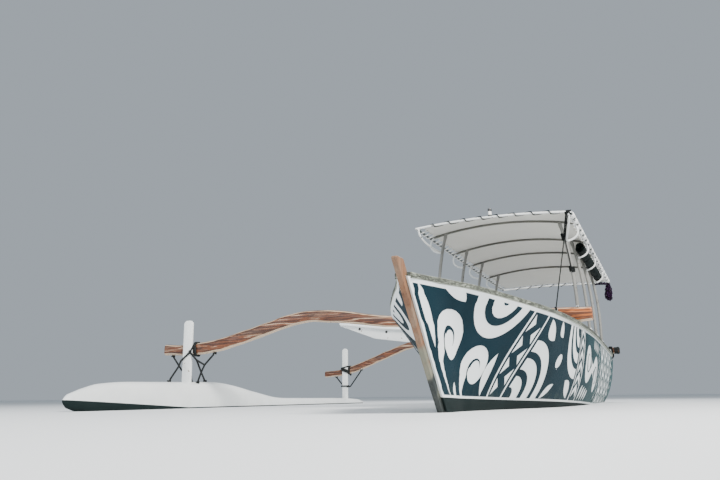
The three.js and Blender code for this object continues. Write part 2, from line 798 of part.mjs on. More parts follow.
// How low the roll can lie in the side loop at x
function curtainRest(x) {
  const loop = loopCurve(x, 1).getSpacedPoints(40);
  const clear = TUBE.loop + 0.6;
  let z = edgeZ(x) - 100;
  const free = () => {
    const ring = curtainRing(x, z, 120);
    return loop.every((p) => ring.every((q) => p.distanceTo(q) > clear));
  };
  while (free()) z -= 0.2;
  return z + 0.2;
}

function curtainRoll() {
  const { fore, aft, sides } = CURTAIN;
  const foreHoop = BOWS[2].x;
  const aftHoop = BOWS[4].x;
  const zFore = curtainRest(foreHoop);
  const zAft = curtainRest(aftHoop);
  const z = (x) => lerp(zAft, zFore, (x - aftHoop) / (foreHoop - aftHoop));
  return loft([fore, aft].map((x) => curtainRing(x, z(x), sides)));
}

function garland() {
  const { x, y, radius, length } = GARLAND;
  const top = edgeZ(CANOPY.rear) - TUBE.edge + 0.7;
  const rows = [
    [0, -length],
    [radius * 0.9, -length * 0.79],
    [radius, -length * 0.48],
    [radius * 0.8, -length * 0.18],
    [radius * 0.5, 0],
    [0, 0],
  ];
  return turned(rows, vec(x, y, top), vec(0, 0, 1), 12);
}

function mastheadLight() {
  const { radius, height, cap } = LIGHT;
  const base = archZ(CANOPY.front, 0) + TUBE.bow - 0.4;
  const total = height + cap;
  const rows = [[0, 0], [radius * 0.8, 0], [radius, 12], [radius, height], [radius * 1.08, height + 2]];
  rows.push([radius * 1.08, total - 6], [radius * 0.8, total], [0, total]);
  return turned(rows, vec(CANOPY.front, 0, base), vec(0, 0, 1), 16);
}

// Outboard pieces

function motorClamp() {
  const outside = STATIONS[STATIONS.length - 1][0] - SEAT - TRANSOM.thick - SEAT;
  const inside = STATIONS[STATIONS.length - 1][0];
  const top = TRANSOM.notchZ + SEAT;
  const profile = [
    [CLAMP.back, CLAMP.low],
    [outside, CLAMP.low],
    [outside, top],
    [inside, top],
    [inside, CLAMP.hookLow],
    [CLAMP.front, CLAMP.hookLow],
    [CLAMP.front, top + 30],
    [outside, top + 42],
    [CLAMP.back, top + 10],
  ];
  const hook = plateXZ(profile, -CLAMP.half, CLAMP.half);
  const ears = [-1, 1].map((side) => {
    const thick = CLAMP.ear / 2;
    const y = side * (CLAMP.half - thick);
    const disc = rod(vec(TILT.x, y, TILT.z), vec(0, 1, 0), CLAMP.disc, -thick, thick, 20);
    const [aft, fore] = [TILT.x - CLAMP.disc, TILT.x + CLAMP.disc];
    return joined(disc, box(aft, fore, y - thick, y + thick, TRANSOM.notchZ + 6, TILT.z));
  });
  const screws = [-62, 62].map((y) => rod(vec(CLAMP.front, y, 285), vec(1, 0, 0), 9, -4, 70, 10));
  const knobs = [-62, 62].map((y) => rod(vec(CLAMP.front, y, 285), vec(1, 0, 0), 22, 60, 78, 10));
  // the hook's top is hollowed where the tilt tube turns between the ears
  const inner = CLAMP.half - CLAMP.ear;
  const room = rod(vec(TILT.x, 0, TILT.z), vec(0, 1, 0), TILT.tube + 12, -inner, inner, 24);
  return cut(joined(hook, ...ears, ...screws, ...knobs), room);
}

function swivelBracket() {
  const reach = CLAMP.half - CLAMP.ear - SEAT;
  const tiltTube = rod(vec(TILT.x, 0, TILT.z), vec(0, 1, 0), TILT.tube, -reach, reach, 20);
  const steerTube = rod(vec(STEER.x, 0, 0), vec(0, 0, 1), STEER.tube, STEER.low, STEER.high, 20);
  const arm = [
    [TILT.x + 4, TILT.z + 20],
    [STEER.x, TILT.z + 30],
    [STEER.x, STEER.low + 20],
    [STEER.x + 40, STEER.low + 40],
    [STEER.x + 48, TILT.z - 60],
    [TILT.x - 16, TILT.z - 18],
  ];
  return joined(tiltTube, steerTube, plateXZ(arm, -30, 30));
}

function cowling() {
  const { fore, aft, low, high, half } = COWL;
  const outline = [
    // x, share of the half width
    [fore, 0.72],
    [fore - 60, 0.98],
    [fore - 200, 1.0],
    [aft + 130, 0.92],
    [aft + 20, 0.6],
    [aft, 0.3],
  ];
  const levels = [
    // height, share of the outline
    [low, 0.86],
    [low + 40, 1.0],
    [low + 190, 1.0],
    [high - 70, 0.93],
    [high - 18, 0.78],
    [high, 0.55],
  ];
  const middle = (fore + aft) / 2;
  const rings = levels.map(([z, share]) => {
    const port = outline.map(([x, wide]) => [lerp(middle, x, share), wide * half * share]);
    return bothSides(port).map(([x, y]) => vec(x, y, z));
  });
  return loft(rings);
}

function midsection() {
  const { fore, aft, half, low } = LEG;
  const pan = COWL.low - SEAT;
  const ring = (z, wide, lead, tail) => {
    const port = [[lead, wide * 0.35], [lead - 40, wide], [tail + 60, wide], [tail, wide * 0.25]];
    return bothSides(port).map(([x, y]) => vec(x, y, z));
  };
  const leg = loft([
    ring(low, half * 0.72, fore - 12, aft - 20),
    ring(0, half * 0.85, fore, aft),
    ring(300, half * 1.25, fore, aft - 60),
    ring(pan, half * 2.2, fore + 30, aft - 190),
  ]);
  const yokes = [[STEER.high + SEAT, pan], [STEER.low - 42, STEER.low - SEAT]].map(([z0, z1]) => joined(
    rod(vec(STEER.x, 0, 0), vec(0, 0, 1), 34, z0, z1, 16),
    box(fore - 40, STEER.x, -28, 28, z0, z1),
  ));
  return joined(leg, ...yokes);
}

function lowerUnit() {
  const { z, radius, fore, aft, plateHalf, skeg } = GEARCASE;
  const top = LEG.low - SEAT;
  const plateEdge = [
    [LEG.fore + 20, 20],
    [LEG.fore - 40, plateHalf * 0.8],
    [aft - 60, plateHalf],
    [aft - 90, plateHalf * 0.7],
  ];
  const plate = plateXY(bothSides(plateEdge), top - 9, top);
  const leg = plateXZ(
    [[LEG.fore - 4, top - 2], [LEG.fore + 4, z], [aft + 70, z], [LEG.aft - 40, top - 2]],
    -20,
    20,
  );
  const bullet = [
    [0, aft],
    [radius * 0.8, aft],
    [radius, aft + 90],
    [radius, fore - 90],
    [radius * 0.62, fore - 30],
    [0, fore],
  ];
  const body = turned(bullet, vec(0, 0, z), vec(1, 0, 0), 16);
  const fin = plateXZ([[fore - 90, z], [fore - 190, skeg], [fore - 290, skeg], [aft + 20, z]], -7, 7);
  return joined(plate, leg, body, fin);
}

function tiller() {
  const low = COWL.fore;
  const root = vec(low, 0, TILLER.z);
  const grip = rod(root, vec(1, 0, 0), TILLER.radius, TILLER.fore - 130 - low, TILLER.fore - low, 14);
  const arm = [
    [low + SEAT, TILLER.z - 30],
    [low + 90, TILLER.z - 24],
    [TILLER.fore - 120, TILLER.z - 13],
    [TILLER.fore - 120, TILLER.z + 13],
    [low + 90, TILLER.z + 22],
    [low + SEAT, TILLER.z + 26],
  ];
  return joined(plateXZ(arm, -17, 17), grip);
}

function propeller() {
  const { aft, hub, radius, blades, pitch } = PROP;
  const fore = GEARCASE.aft - SEAT;
  const middle = (fore + aft) / 2;
  const axis = vec(1, 0, 0);
  const body = turned(
    [[0, aft], [hub * 0.7, aft], [hub, aft + 30], [hub, fore], [0, fore]],
    vec(0, 0, GEARCASE.z),
    axis,
    18,
  );
  const parts = [body];
  const outline = [
    [-20, hub * 0.6],
    [-46, radius * 0.62],
    [-34, radius * 0.93],
    [0, radius],
    [38, radius * 0.9],
    [48, radius * 0.6],
    [22, hub * 0.6],
  ];
  for (let k = 0; k < blades; k++) {
    const blade = extruded(outline, 7).translate(0, 0, -3.5);
    // stand the blade up, set its pitch, then turn it round the shaft
    blade.rotateX(Math.PI / 2).rotateZ(pitch).rotateX((2 * Math.PI * k) / blades);
    blade.translate(middle, 0, GEARCASE.z);
    parts.push(closed(blade));
  }
  return joined(...parts);
}

// Colours and finishes

function paint(color, roughness = 0.4, metalness = 0) {
  return new THREE.MeshStandardMaterial({ color, roughness, metalness });
}

const FINISH = {
  hullPaint: paint(0xdfe6e6, 0.35),
  bottomPaint: paint(0x0d1b1c, 0.7),
  weathered: paint(0x8d9486, 0.8),
  varnish: paint(0xa06a42, 0.45),
  log: paint(0xb56a3c, 0.55),
  boards: paint(0xa98b63, 0.7),
  white: paint(0xe6e9e8, 0.45),
  tube: paint(0xdedede, 0.35, 0.4),
  cloth: paint(0xdfe2df, 0.9),
  darkCloth: paint(0x141f1e, 0.95),
  flowers: paint(0x3a1640, 0.9),
  lens: paint(0xf3f1e6, 0.2),
  motor: paint(0x2b2f33, 0.35),
  castMetal: paint(0x4a4e52, 0.5, 0.5),
  steel: paint(0xb9bcbf, 0.3, 0.9),
};

// The object

const canoe = new THREE.Group();

function add(name, geometry, material) {
  const mesh = new THREE.Mesh(geometry, material);
  mesh.name = name;
  canoe.add(mesh);
}

const SIDES = [['port', 1], ['starboard', -1]];

add('keel', keel(), FINISH.bottomPaint);
add('stem_post', stemPost(), FINISH.varnish);
for (const [name, side] of SIDES) {
  ['fore', 'middle', 'aft'].forEach((length, i) => {
    const ends = [BUTTS[i], BUTTS[i + 1]];
    add(`bottom_planking_${name}_${length}`, planking(side, 0, SEAM - SEAM_GAP, ...ends), FINISH.bottomPaint);
    add(`side_planking_${name}_${length}`, planking(side, SEAM + SEAM_GAP, 1, ...ends), FINISH.hullPaint);
  });
  add(`gunwale_${name}`, gunwale(side), FINISH.weathered);
  add(`bench_${name}`, bench(side), FINISH.boards);
  add(`stern_cleat_${name}`, sternCleat(side), FINISH.steel);
}
add('transom', transom(), FINISH.hullPaint);
FRAMES.forEach((spec, i) => add(`frame_${i + 1}`, frame(spec), FINISH.boards));
add('foredeck', foredeck(), FINISH.boards);
add('sole', sole(), FINISH.boards);
add('helm_thwart', helmThwart(), FINISH.boards);
add('bow_bitt', bowBitt(), FINISH.varnish);

for (const name of ['front', 'rear']) {
  add(`cross_log_${name}`, crossLog(CROSS_LOGS[name]), FINISH.log);
  add(`log_knee_${name}`, knee(CROSS_LOGS[name], KNEES[name]), FINISH.white);
}
for (const spec of FLOAT_POSTS) add(`float_post_${spec.name}`, floatPost(spec), FINISH.white);
add('float', float(), FINISH.white);

for (const bow of BOWS.slice(1, -1)) add(`canopy_${bow.name}`, hoop(bow), FINISH.tube);
add('canopy_front_bow', frontBow(), FINISH.tube);
add('canopy_rear_bow', rearBow(), FINISH.tube);
for (const [name, side] of SIDES) add(`canopy_rail_${name}`, edgeRail(side), FINISH.tube);
add('canopy_cover', cover(), FINISH.cloth);
add('curtain_roll', curtainRoll(), FINISH.darkCloth);
add('garland', garland(), FINISH.flowers);
add('masthead_light', mastheadLight(), FINISH.lens);

add('motor_clamp', motorClamp(), FINISH.castMetal);
add('motor_swivel', swivelBracket(), FINISH.castMetal);
add('motor_cowling', cowling(), FINISH.motor);
add('motor_midsection', midsection(), FINISH.motor);
add('motor_lower_unit', lowerUnit(), FINISH.motor);
add('motor_tiller', tiller(), FINISH.motor);
add('propeller', propeller(), FINISH.castMetal);

export default canoe;
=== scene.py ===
"""Outrigger canoe with a laced canopy and a tiller outboard, afloat.

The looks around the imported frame. Metres, origin on the waterline amidships,
+X to the bow, +Y to port, +Z up.
"""

import json
import logging
import math
import random
from dataclasses import dataclass, replace
from enum import Enum
from typing import Callable, Iterable, Sequence

import bmesh
import bpy
from mathutils import Matrix, Vector
from mathutils.geometry import delaunay_2d_cdt

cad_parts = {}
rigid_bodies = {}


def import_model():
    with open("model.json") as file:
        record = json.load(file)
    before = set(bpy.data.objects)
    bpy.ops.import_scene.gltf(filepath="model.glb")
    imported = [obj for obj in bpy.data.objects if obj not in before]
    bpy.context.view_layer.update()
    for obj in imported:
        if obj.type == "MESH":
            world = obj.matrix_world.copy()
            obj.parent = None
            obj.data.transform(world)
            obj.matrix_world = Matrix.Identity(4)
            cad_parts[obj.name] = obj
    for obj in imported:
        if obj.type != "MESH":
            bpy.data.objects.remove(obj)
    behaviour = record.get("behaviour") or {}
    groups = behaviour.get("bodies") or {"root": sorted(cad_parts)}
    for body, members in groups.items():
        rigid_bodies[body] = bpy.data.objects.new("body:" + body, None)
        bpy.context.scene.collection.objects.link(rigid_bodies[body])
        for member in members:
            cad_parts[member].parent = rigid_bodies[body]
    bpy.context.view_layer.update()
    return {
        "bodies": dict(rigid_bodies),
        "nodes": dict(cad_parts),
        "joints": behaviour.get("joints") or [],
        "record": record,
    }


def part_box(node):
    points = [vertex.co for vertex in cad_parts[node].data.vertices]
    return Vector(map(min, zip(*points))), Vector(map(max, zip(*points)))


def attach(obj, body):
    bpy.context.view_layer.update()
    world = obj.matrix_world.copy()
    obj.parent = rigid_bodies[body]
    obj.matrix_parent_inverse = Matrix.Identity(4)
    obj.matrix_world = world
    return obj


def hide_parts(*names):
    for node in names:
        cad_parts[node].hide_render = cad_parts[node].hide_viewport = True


LOG = logging.getLogger("canoe")

Color = tuple[float, float, float]
Flat = tuple[float, float]
Sides = (("port", 1), ("starboard", -1))
TINY = 1e-6
UP = Vector((0, 0, 1))
DOWN = Vector((0, 0, -1))


class Axis(Enum):
    """A direction in the row frame."""

    X = 0
    Y = 1
    Z = 2

    def vector(self) -> Vector:
        """The unit vector along this axis."""
        return Vector([1.0 if i == self.value else 0.0 for i in range(3)])


class Body(Enum):
    """The moving bodies of the frame."""

    HULL = "hull"
    TILTING = "motor_tilting"
    MOTOR = "motor"
    PROPELLER = "propeller"


class Slot(Enum):
    """The record's material slots."""

    HULL_PAINT = "hull_paint"
    BOTTOM_PAINT = "bottom_paint"
    WEATHERED = "weathered_wood"
    VARNISHED = "varnished_wood"
    LOG = "log_wood"
    BOARDS = "deck_boards"
    WHITE = "white_paint"
    TUBE = "frame_tube"
    CANOPY = "canopy_cloth"
    CURTAIN = "curtain_cloth"
    FLOWERS = "flowers"
    LAMP = "lamp"
    SHELL = "motor_shell"
    CASTING = "motor_casting"
    FITTING = "fitting_metal"
    BLADES = "propeller_metal"


def lerp(a: float, b: float, share: float) -> float:
    """The value between a and b at a share of the way."""
    return a + (b - a) * share


def smooth(share: float) -> float:
    """An eased share, flat at both ends."""
    share = min(max(share, 0.0), 1.0)
    return share * share * (3 - 2 * share)


def signed_power(value: float, power: float) -> float:
    """A power of the value's size, with the value's sign."""
    return math.copysign(abs(value) ** power, value)


def shade(color: Color, factor: float, lift: float = 0.0) -> list[float]:
    """A colour scaled and lifted, no brighter than white."""
    return [min(1.0, c * factor + lift) for c in color]


def pointing(way: Sequence[float]) -> Matrix:
    """The rotation that takes +Z to a direction."""
    return Vector(way).to_track_quat("Z", "Y").to_matrix().to_4x4()


def catmull(a: float, b: float, c: float, d: float, f: float) -> float:
    """A smooth value between b and c, with a and d as their neighbours."""
    square = 2 * a - 5 * b + 4 * c - d
    cube = 3 * b - a - 3 * c + d
    return 0.5 * (2 * b + (c - a) * f + square * f * f + cube * f**3)


def between(rows: Sequence[Sequence[float]], key: float) -> list[float]:
    """The columns of a table at a key, smooth from row to row.

    Args:
        rows: Rows whose first column rises or falls.
        key: A value of the first column.

    Returns:
        The other columns at that key.
    """
    rising = rows[-1][0] > rows[0][0]
    i = 0
    while i + 2 < len(rows) and (rows[i + 1][0] < key) == rising and rows[i + 1][0] != key:
        i += 1
    f = min(max((key - rows[i][0]) / (rows[i + 1][0] - rows[i][0]), 0.0), 1.0)
    near = [rows[min(max(k, 0), len(rows) - 1)] for k in range(i - 1, i + 3)]
    return [catmull(*(row[c] for row in near), f) for c in range(1, len(rows[0]))]


def straight(a: Vector, b: Vector, steps: int) -> list[Vector]:
    """Evenly spaced points from a to b."""
    return [a.lerp(b, k / steps) for k in range(steps + 1)]


def quadratic(a: Vector, b: Vector, c: Vector, t: float) -> Vector:
    """A point of the curve from a to c that leans to b."""
    return a * (1 - t) ** 2 + b * 2 * t * (1 - t) + c * t * t


def link(made: bpy.types.Object) -> None:
    """Puts an object in the scene."""
    bpy.context.scene.collection.objects.link(made)


def path_length(points: Sequence[Vector]) -> float:
    """The length of a line through points."""
    return sum((b - a).length for a, b in zip(points, points[1:]))


def rounded(points: Sequence[Sequence[float]], radius: float) -> list[Vector]:
    """A line through points with its corners rounded.

    Args:
        points: The corners and both ends.
        radius: How far from a corner the rounding starts.

    Returns:
        The points of the rounded line.
    """
    steps = 3
    line = [Vector(points[0])]
    for before, corner, after in zip(points, points[1:], points[2:]):
        a, b = Vector(before) - Vector(corner), Vector(after) - Vector(corner)
        reach = min(radius, a.length * 0.45, b.length * 0.45)
        start = Vector(corner) + a.normalized() * reach
        end = Vector(corner) + b.normalized() * reach
        line += [quadratic(start, Vector(corner), end, k / steps) for k in range(steps + 1)]
    line.append(Vector(points[-1]))
    return line


def bowed(points: Sequence[Vector], steps: int) -> list[Vector]:
    """A smooth line through points, with steps between each two."""
    rows = [[float(i), *p] for i, p in enumerate(points)]
    count = (len(points) - 1) * steps
    return [Vector(between(rows, i / steps)) for i in range(count + 1)]


class Graph:
    """One material's nodes, as its finish builds them."""

    def __init__(self, name: str, color: Color, roughness: float) -> None:
        """Starts a material with a plain surface.

        Args:
            name: The material's name.
            color: Its base colour.
            roughness: Its base roughness.
        """
        self.material = bpy.data.materials.new(name)
        self.material.use_nodes = True
        self.tree = self.material.node_tree
        self.shader = self.tree.nodes["Principled BSDF"]
        self.shader.inputs["Base Color"].default_value = (*color, 1)
        self.shader.inputs["Roughness"].default_value = roughness
        self.material.diffuse_color = (*color, 1)

    def add(self, kind: str, inputs: dict, output: str | int = 0, **settings) -> bpy.types.NodeSocket:
        """Adds a node.

        Args:
            kind: The node's type after ShaderNode.
            inputs: Values or sockets by input name or number.
            output: Which output to give back.
            **settings: The node's own settings.

        Returns:
            The node's output socket.
        """
        node = self.tree.nodes.new("ShaderNode" + kind)
        for key, value in settings.items():
            setattr(node, key, value)
        for key, value in inputs.items():
            if isinstance(value, bpy.types.NodeSocket):
                self.tree.links.new(value, node.inputs[key])
            else:
                node.inputs[key].default_value = value
        return node.outputs[output]

    def set(self, name: str, value) -> None:
        """Sets or links one of the shader's inputs."""
        if isinstance(value, bpy.types.NodeSocket):
            self.tree.links.new(value, self.shader.inputs[name])
        else:
            self.shader.inputs[name].default_value = value

    def place(self, scale: Sequence[float] = (1, 1, 1), uv: bool = False) -> bpy.types.NodeSocket:
        """Object or UV coordinates, stretched by a scale."""
        source = self.add("TexCoord", {}, "UV" if uv else "Object")
        return self.add("Mapping", {"Vector": source, "Scale": tuple(scale)})

    def noise(self, at, scale: float, detail: float = 4, warp: float = 0.0) -> bpy.types.NodeSocket:
        """Fractal noise from 0 to 1."""
        inputs = {"Vector": at, "Scale": scale, "Detail": detail, "Distortion": warp}
        return self.add("TexNoise", inputs, "Fac")

    def band(self, value, low: float, high: float, a: float = 0.0, b: float = 1.0) -> bpy.types.NodeSocket:
        """A value eased from a at low to b at high."""
        inputs = {"Value": value, "From Min": low, "From Max": high, "To Min": a, "To Max": b}
        return self.add("MapRange", inputs, interpolation_type="SMOOTHSTEP")

    def math(self, operation: str, a, b=0.0) -> bpy.types.NodeSocket:
        """One sum of two values."""
        return self.add("Math", {0: a, 1: b}, operation=operation)

    def axis(self, axis: Axis, uv: bool = False) -> bpy.types.NodeSocket:
        """One coordinate of the object or of its UV map."""
        return self.add("SeparateXYZ", {"Vector": self.place(uv=uv)}, axis.value)

    def facing_up(self) -> bpy.types.NodeSocket:
        """How far the surface faces up, from -1 to 1."""
        return self.add("SeparateXYZ", {"Vector": self.add("NewGeometry", {}, "Normal")}, Axis.Z.value)

    def mix(self, share, a, b, blend: str = "MIX") -> bpy.types.NodeSocket:
        """Two colours mixed by a share.

        Args:
            share: A value or socket from 0 to 1.
            a: The colour at 0.
            b: The colour at 1.
            blend: Blender's name for how they mix.

        Returns:
            The mixed colour's socket.
        """
        inputs = {0: share}
        for key, color in ((6, a), (7, b)):
            inputs[key] = color if isinstance(color, bpy.types.NodeSocket) else (*color, 1)
        return self.add("Mix", inputs, 2, data_type="RGBA", blend_type=blend)

    def bump(self, height, distance: float, strength: float = 0.6, under=None) -> bpy.types.NodeSocket:
        """Raises the surface by a height in metres, over an earlier bump."""
        inputs = {"Height": height, "Distance": distance, "Strength": strength}
        if under is not None:
            inputs["Normal"] = under
        made = self.add("Bump", inputs)
        self.set("Normal", made)
        return made


@dataclass(frozen=True)
class Finish:
    """A surface finish: a name, a colour and how it shines."""

    name: str
    slot: Slot
    color: Color
    roughness: float = 0.5

    def material(self) -> bpy.types.Material:
        """The finish's material, made once."""
        name = f"{self.name}_finish"
        found = bpy.data.materials.get(name)
        if found:
            return found
        graph = Graph(name, self.color, self.roughness)
        self.dress(graph)
        return graph.material

    def dress(self, graph: Graph) -> None:
        """Adds the finish's own nodes."""


@dataclass(frozen=True)
class Paint(Finish):
    """Brushed paint on wood: faint mottle, brush marks, grime near the water and a few chips."""

    # colour toward the stern: partly faded paint, partly painted reflection
    aft_color: Color | None = None
    grime: float = 0.25
    shine: float = 0.4
    coat: float = 0.0
    boot_color: Color | None = None
    boot_height: float = 0.0
    boot_slope: float = 0.0
    boot_least: float = -1.0
    chips: float = 0.0
    under_color: Color = (0.3, 0.24, 0.17)

    FADE = (2.6, -3.2)
    SPLASH = (0.34, 0.02)
    STAIN = (0.29, 0.31, 0.2)

    def dress(self, graph: Graph) -> None:
        """Mottles the colour, dirties it low down and paints what lies under the boot line."""
        graph.set("Coat Weight", self.coat)
        graph.set("Coat Roughness", 0.25)
        graph.set("Specular IOR Level", self.shine)
        place = graph.place()
        color = self.color
        # lighter toward the stern: partly faded paint, partly painted reflection
        if self.aft_color is not None:
            along = graph.band(graph.axis(Axis.X), *self.FADE)
            color = graph.mix(along, self.color, self.aft_color)
        mottle = graph.noise(place, 2.3, 5)
        color = graph.mix(graph.band(mottle, 0.4, 0.75, 0, 0.3), color, shade(self.color, 0.86), "MULTIPLY")
        fine = graph.noise(graph.place((6, 6, 42)), 9.0, 6)
        height = graph.axis(Axis.Z)
        low = graph.band(height, *self.SPLASH, 0, self.grime)
        streak = graph.band(graph.noise(graph.place((7, 7, 0.9)), 3.0, 5), 0.42, 0.68)
        stain = graph.math("MULTIPLY", low, streak)
        color = graph.mix(stain, color, self.STAIN)
        if self.chips:
            flakes = graph.noise(graph.place(), 16.0, 8, 0.4)
            chip = graph.band(flakes, 0.7 - self.chips, 0.71 - self.chips)
            color = graph.mix(chip, color, self.under_color)
        rough = graph.band(fine, 0.3, 0.75, self.roughness * 0.8, min(1.0, self.roughness * 1.35))
        if self.boot_color is not None:
            line = graph.math("MULTIPLY", graph.axis(Axis.X), self.boot_slope)
            line = graph.math("MAXIMUM", graph.math("ADD", line, self.boot_height), self.boot_least)
            below = graph.band(graph.math("SUBTRACT", height, line), 0.002, -0.002)
            pale = shade(self.boot_color, 1.6, 0.004)
            weed = graph.mix(graph.noise(place, 7.0, 8), self.boot_color, pale)
            color = graph.mix(below, color, weed)
            rough = graph.math("MAXIMUM", rough, graph.math("MULTIPLY", below, 0.85))
        graph.set("Base Color", color)
        graph.set("Roughness", rough)
        under = graph.bump(graph.noise(place, 3.1, 3), 0.004, 0.25)
        graph.bump(fine, 0.0006, 0.5, under)


@dataclass(frozen=True)
class Timber(Finish):
    """Wood with its grain along one axis, bare, oiled or varnished."""

    dark: Color = (0.2, 0.1, 0.05)
    weather: Color = (0.45, 0.46, 0.4)
    weathered: float = 0.0
    grain: Axis = Axis.X
    rings: float = 9.0
    coat: float = 0.0
    wet: bool = False
    pores: float = 0.0005

    TIDE = (0.64, 0.46)
    TIDE_COLOR = (0.16, 0.175, 0.13)
    SLIME = (0.34, 0.2)
    SLIME_COLOR = (0.008, 0.013, 0.012)

    def stretch(self, across: float, along: float) -> list[float]:
        """Scales that draw a pattern out along the grain."""
        return [along if i == self.grain.value else across for i in range(3)]

    def dress(self, graph: Graph) -> None:
        """Grain bands, dark streaks, pores, weathered patches and a tide mark."""
        graph.set("Coat Weight", self.coat)
        graph.set("Coat Roughness", 0.16)
        bands = graph.noise(graph.place(self.stretch(self.rings, 0.55)), 1.0, 6, 1.1)
        streaks = graph.noise(graph.place(self.stretch(self.rings * 5, 0.9)), 1.0, 5, 0.5)
        fibres = graph.noise(graph.place(self.stretch(260, 6)), 1.0, 4)
        mid = [lerp(a, b, 0.38) for a, b in zip(self.color, self.dark)]
        color = graph.mix(graph.band(bands, 0.38, 0.62), self.color, mid)
        color = graph.mix(graph.band(streaks, 0.5, 0.72, 0, 0.8), color, self.dark)
        color = graph.mix(graph.band(fibres, 0.45, 0.7, 0, 0.35), color, self.dark)
        if self.weathered:
            patch = graph.noise(graph.place(self.stretch(5, 1.1)), 1.0, 7, 0.6)
            edge = 0.62 - 0.42 * self.weathered
            worn = graph.band(patch, edge - 0.12, edge + 0.12, 0, 0.35 + 0.6 * self.weathered)
            grey = graph.mix(graph.band(fibres, 0.4, 0.7), self.weather, shade(self.weather, 0.55))
            color = graph.mix(worn, color, grey)
        if self.wet:
            height = graph.axis(Axis.Z)
            waves = graph.band(graph.noise(graph.place(), 4.0, 5), 0.3, 0.7, -0.12, 0.12)
            ragged = graph.math("ADD", height, waves)
            color = graph.mix(graph.band(ragged, *self.TIDE, 0, 0.8), color, self.TIDE_COLOR)
            color = graph.mix(graph.band(ragged, *self.SLIME), color, self.SLIME_COLOR)
        graph.set("Base Color", self.tone(graph, color))
        low, high = self.roughness * 0.8, min(1.0, self.roughness * 1.25)
        graph.set("Roughness", graph.band(streaks, 0.3, 0.7, low, high))
        under = graph.bump(bands, 0.0016, 0.35)
        graph.bump(fibres, self.pores, 0.7, under)

    def tone(self, graph: Graph, color) -> bpy.types.NodeSocket:
        """The colour after the finish's own touches."""
        return color


@dataclass(frozen=True)
class LogTimber(Timber):
    """A varnished log: streaked on its faces, paler below, pale along its rims (partly sapwood and wear,
    partly painted highlight), bright at its port end.
    """

    # pale tone of the figure, the underside and the rims; on the rims partly a painted highlight
    worn: Color = (0.7, 0.58, 0.44)
    bright: Color = (0.68, 0.27, 0.07)
    bright_from: float = 0.55

    def tone(self, graph: Graph, color) -> bpy.types.NodeSocket:
        """Brightens the port end, pales the underside, then pales the rims, partly as sapwood and wear and
        partly as painted highlight.
        """
        end = graph.band(graph.axis(Axis.Y), self.bright_from, self.bright_from + 0.3, 0, 0.8)
        color = graph.mix(end, color, self.bright)
        figure = graph.noise(graph.place(self.stretch(34, 1.5)), 1.0, 4, 1.2)
        color = graph.mix(graph.band(figure, 0.47, 0.55, 0, 0.85), color, self.dark)
        color = graph.mix(graph.band(figure, 0.42, 0.34, 0, 0.6), color, self.worn)
        up = graph.facing_up()
        patch = graph.noise(graph.place(self.stretch(9, 1.6)), 1.0, 6, 0.5)
        ragged = graph.math("ADD", up, graph.band(patch, 0.3, 0.7, -0.22, 0.22))
        color = graph.mix(graph.band(ragged, -0.42, -0.72, 0, 0.9), color, self.worn)
        # pale rims on the rounded edges: partly sapwood and wear, partly painted highlight
        steep = graph.math("ABSOLUTE", up)
        rim = graph.math("MULTIPLY", graph.band(steep, 0.42, 0.62), graph.band(steep, 0.9, 0.76))
        rim = graph.math("MULTIPLY", rim, graph.band(patch, 0.4, 0.55, 0.15, 0.85))
        return graph.mix(rim, color, self.worn)


@dataclass(frozen=True)
class Cloth(Finish):
    """Woven cloth on its UV map, in metres, whose downward faces may take a second colour as painted shade.
    """

    threads: float = 700.0
    sheen: float = 0.2
    crease: float = 0.0
    # colour of the downward faces: painted shade under the cloth
    back: Color | None = None
    slub: float = 0.12

    def dress(self, graph: Graph) -> None:
        """A plain weave, slubs, soft creases and dirt in them."""
        graph.set("Specular IOR Level", 0.15)
        graph.set("Sheen Weight", self.sheen)
        graph.set("Sheen Roughness", 0.5)
        place = graph.place(uv=True)
        wave = {"Vector": place, "Scale": self.threads / 20, "Distortion": 0.2}
        warp, weft = (graph.add("TexWave", wave, "Fac", bands_direction=way) for way in "XY")
        weave = graph.math("MULTIPLY", warp, weft)
        soft = graph.noise(place, 3.0, 5)
        threads = graph.noise(graph.place((4, 160, 1), uv=True), 1.0, 3)
        color = graph.mix(graph.band(soft, 0.35, 0.75, 0, self.slub), self.color, shade(self.color, 0.72))
        color = graph.mix(graph.band(threads, 0.5, 0.75, 0, self.slub), color, shade(self.color, 0.8))
        color = graph.mix(graph.math("MULTIPLY", weave, 0.14), color, shade(self.color, 0.6))
        # painted shade: faces that turn down take the back colour
        if self.back is not None:
            color = graph.mix(graph.band(graph.facing_up(), 0.05, -0.05), color, self.back)
        graph.set("Base Color", color)
        graph.set("Roughness", self.roughness)
        under = graph.bump(graph.noise(place, 9.0, 4, 0.4), 0.006, 0.3 + self.crease)
        graph.bump(weave, 0.0004, 0.4, under)


@dataclass(frozen=True)
class Metal(Finish):
    """Brushed, cast or coated metal with scratches and dull patches."""

    metallic: float = 1.0
    grit: float = 0.0003
    scratch: float = 0.15
    coat: float = 0.0
    rust: float = 0.0

    def dress(self, graph: Graph) -> None:
        """Dull patches, fine scratches and rust in the low spots."""
        graph.set("Metallic", self.metallic)
        graph.set("Coat Weight", self.coat)
        place = graph.place()
        patch = graph.noise(place, 7.0, 6)
        fine = graph.noise(graph.place((40, 40, 400)), 1.0, 4)
        cast = graph.noise(place, 320.0, 3)
        color = graph.mix(graph.band(patch, 0.35, 0.75, 0, 0.35), self.color, shade(self.color, 0.68))
        color = graph.mix(graph.band(fine, 0.6, 0.72, 0, self.scratch), color, shade(self.color, 1.5, 0.05))
        if self.rust:
            spots = graph.band(graph.noise(place, 22.0, 8, 0.3), 0.72 - self.rust, 0.8 - self.rust)
            color = graph.mix(spots, color, (0.25, 0.1, 0.04))
        graph.set("Base Color", color)
        low, high = self.roughness * 0.75, min(1.0, self.roughness * 1.4)
        graph.set("Roughness", graph.band(patch, 0.3, 0.7, low, high))
        graph.bump(cast, self.grit, 0.5)


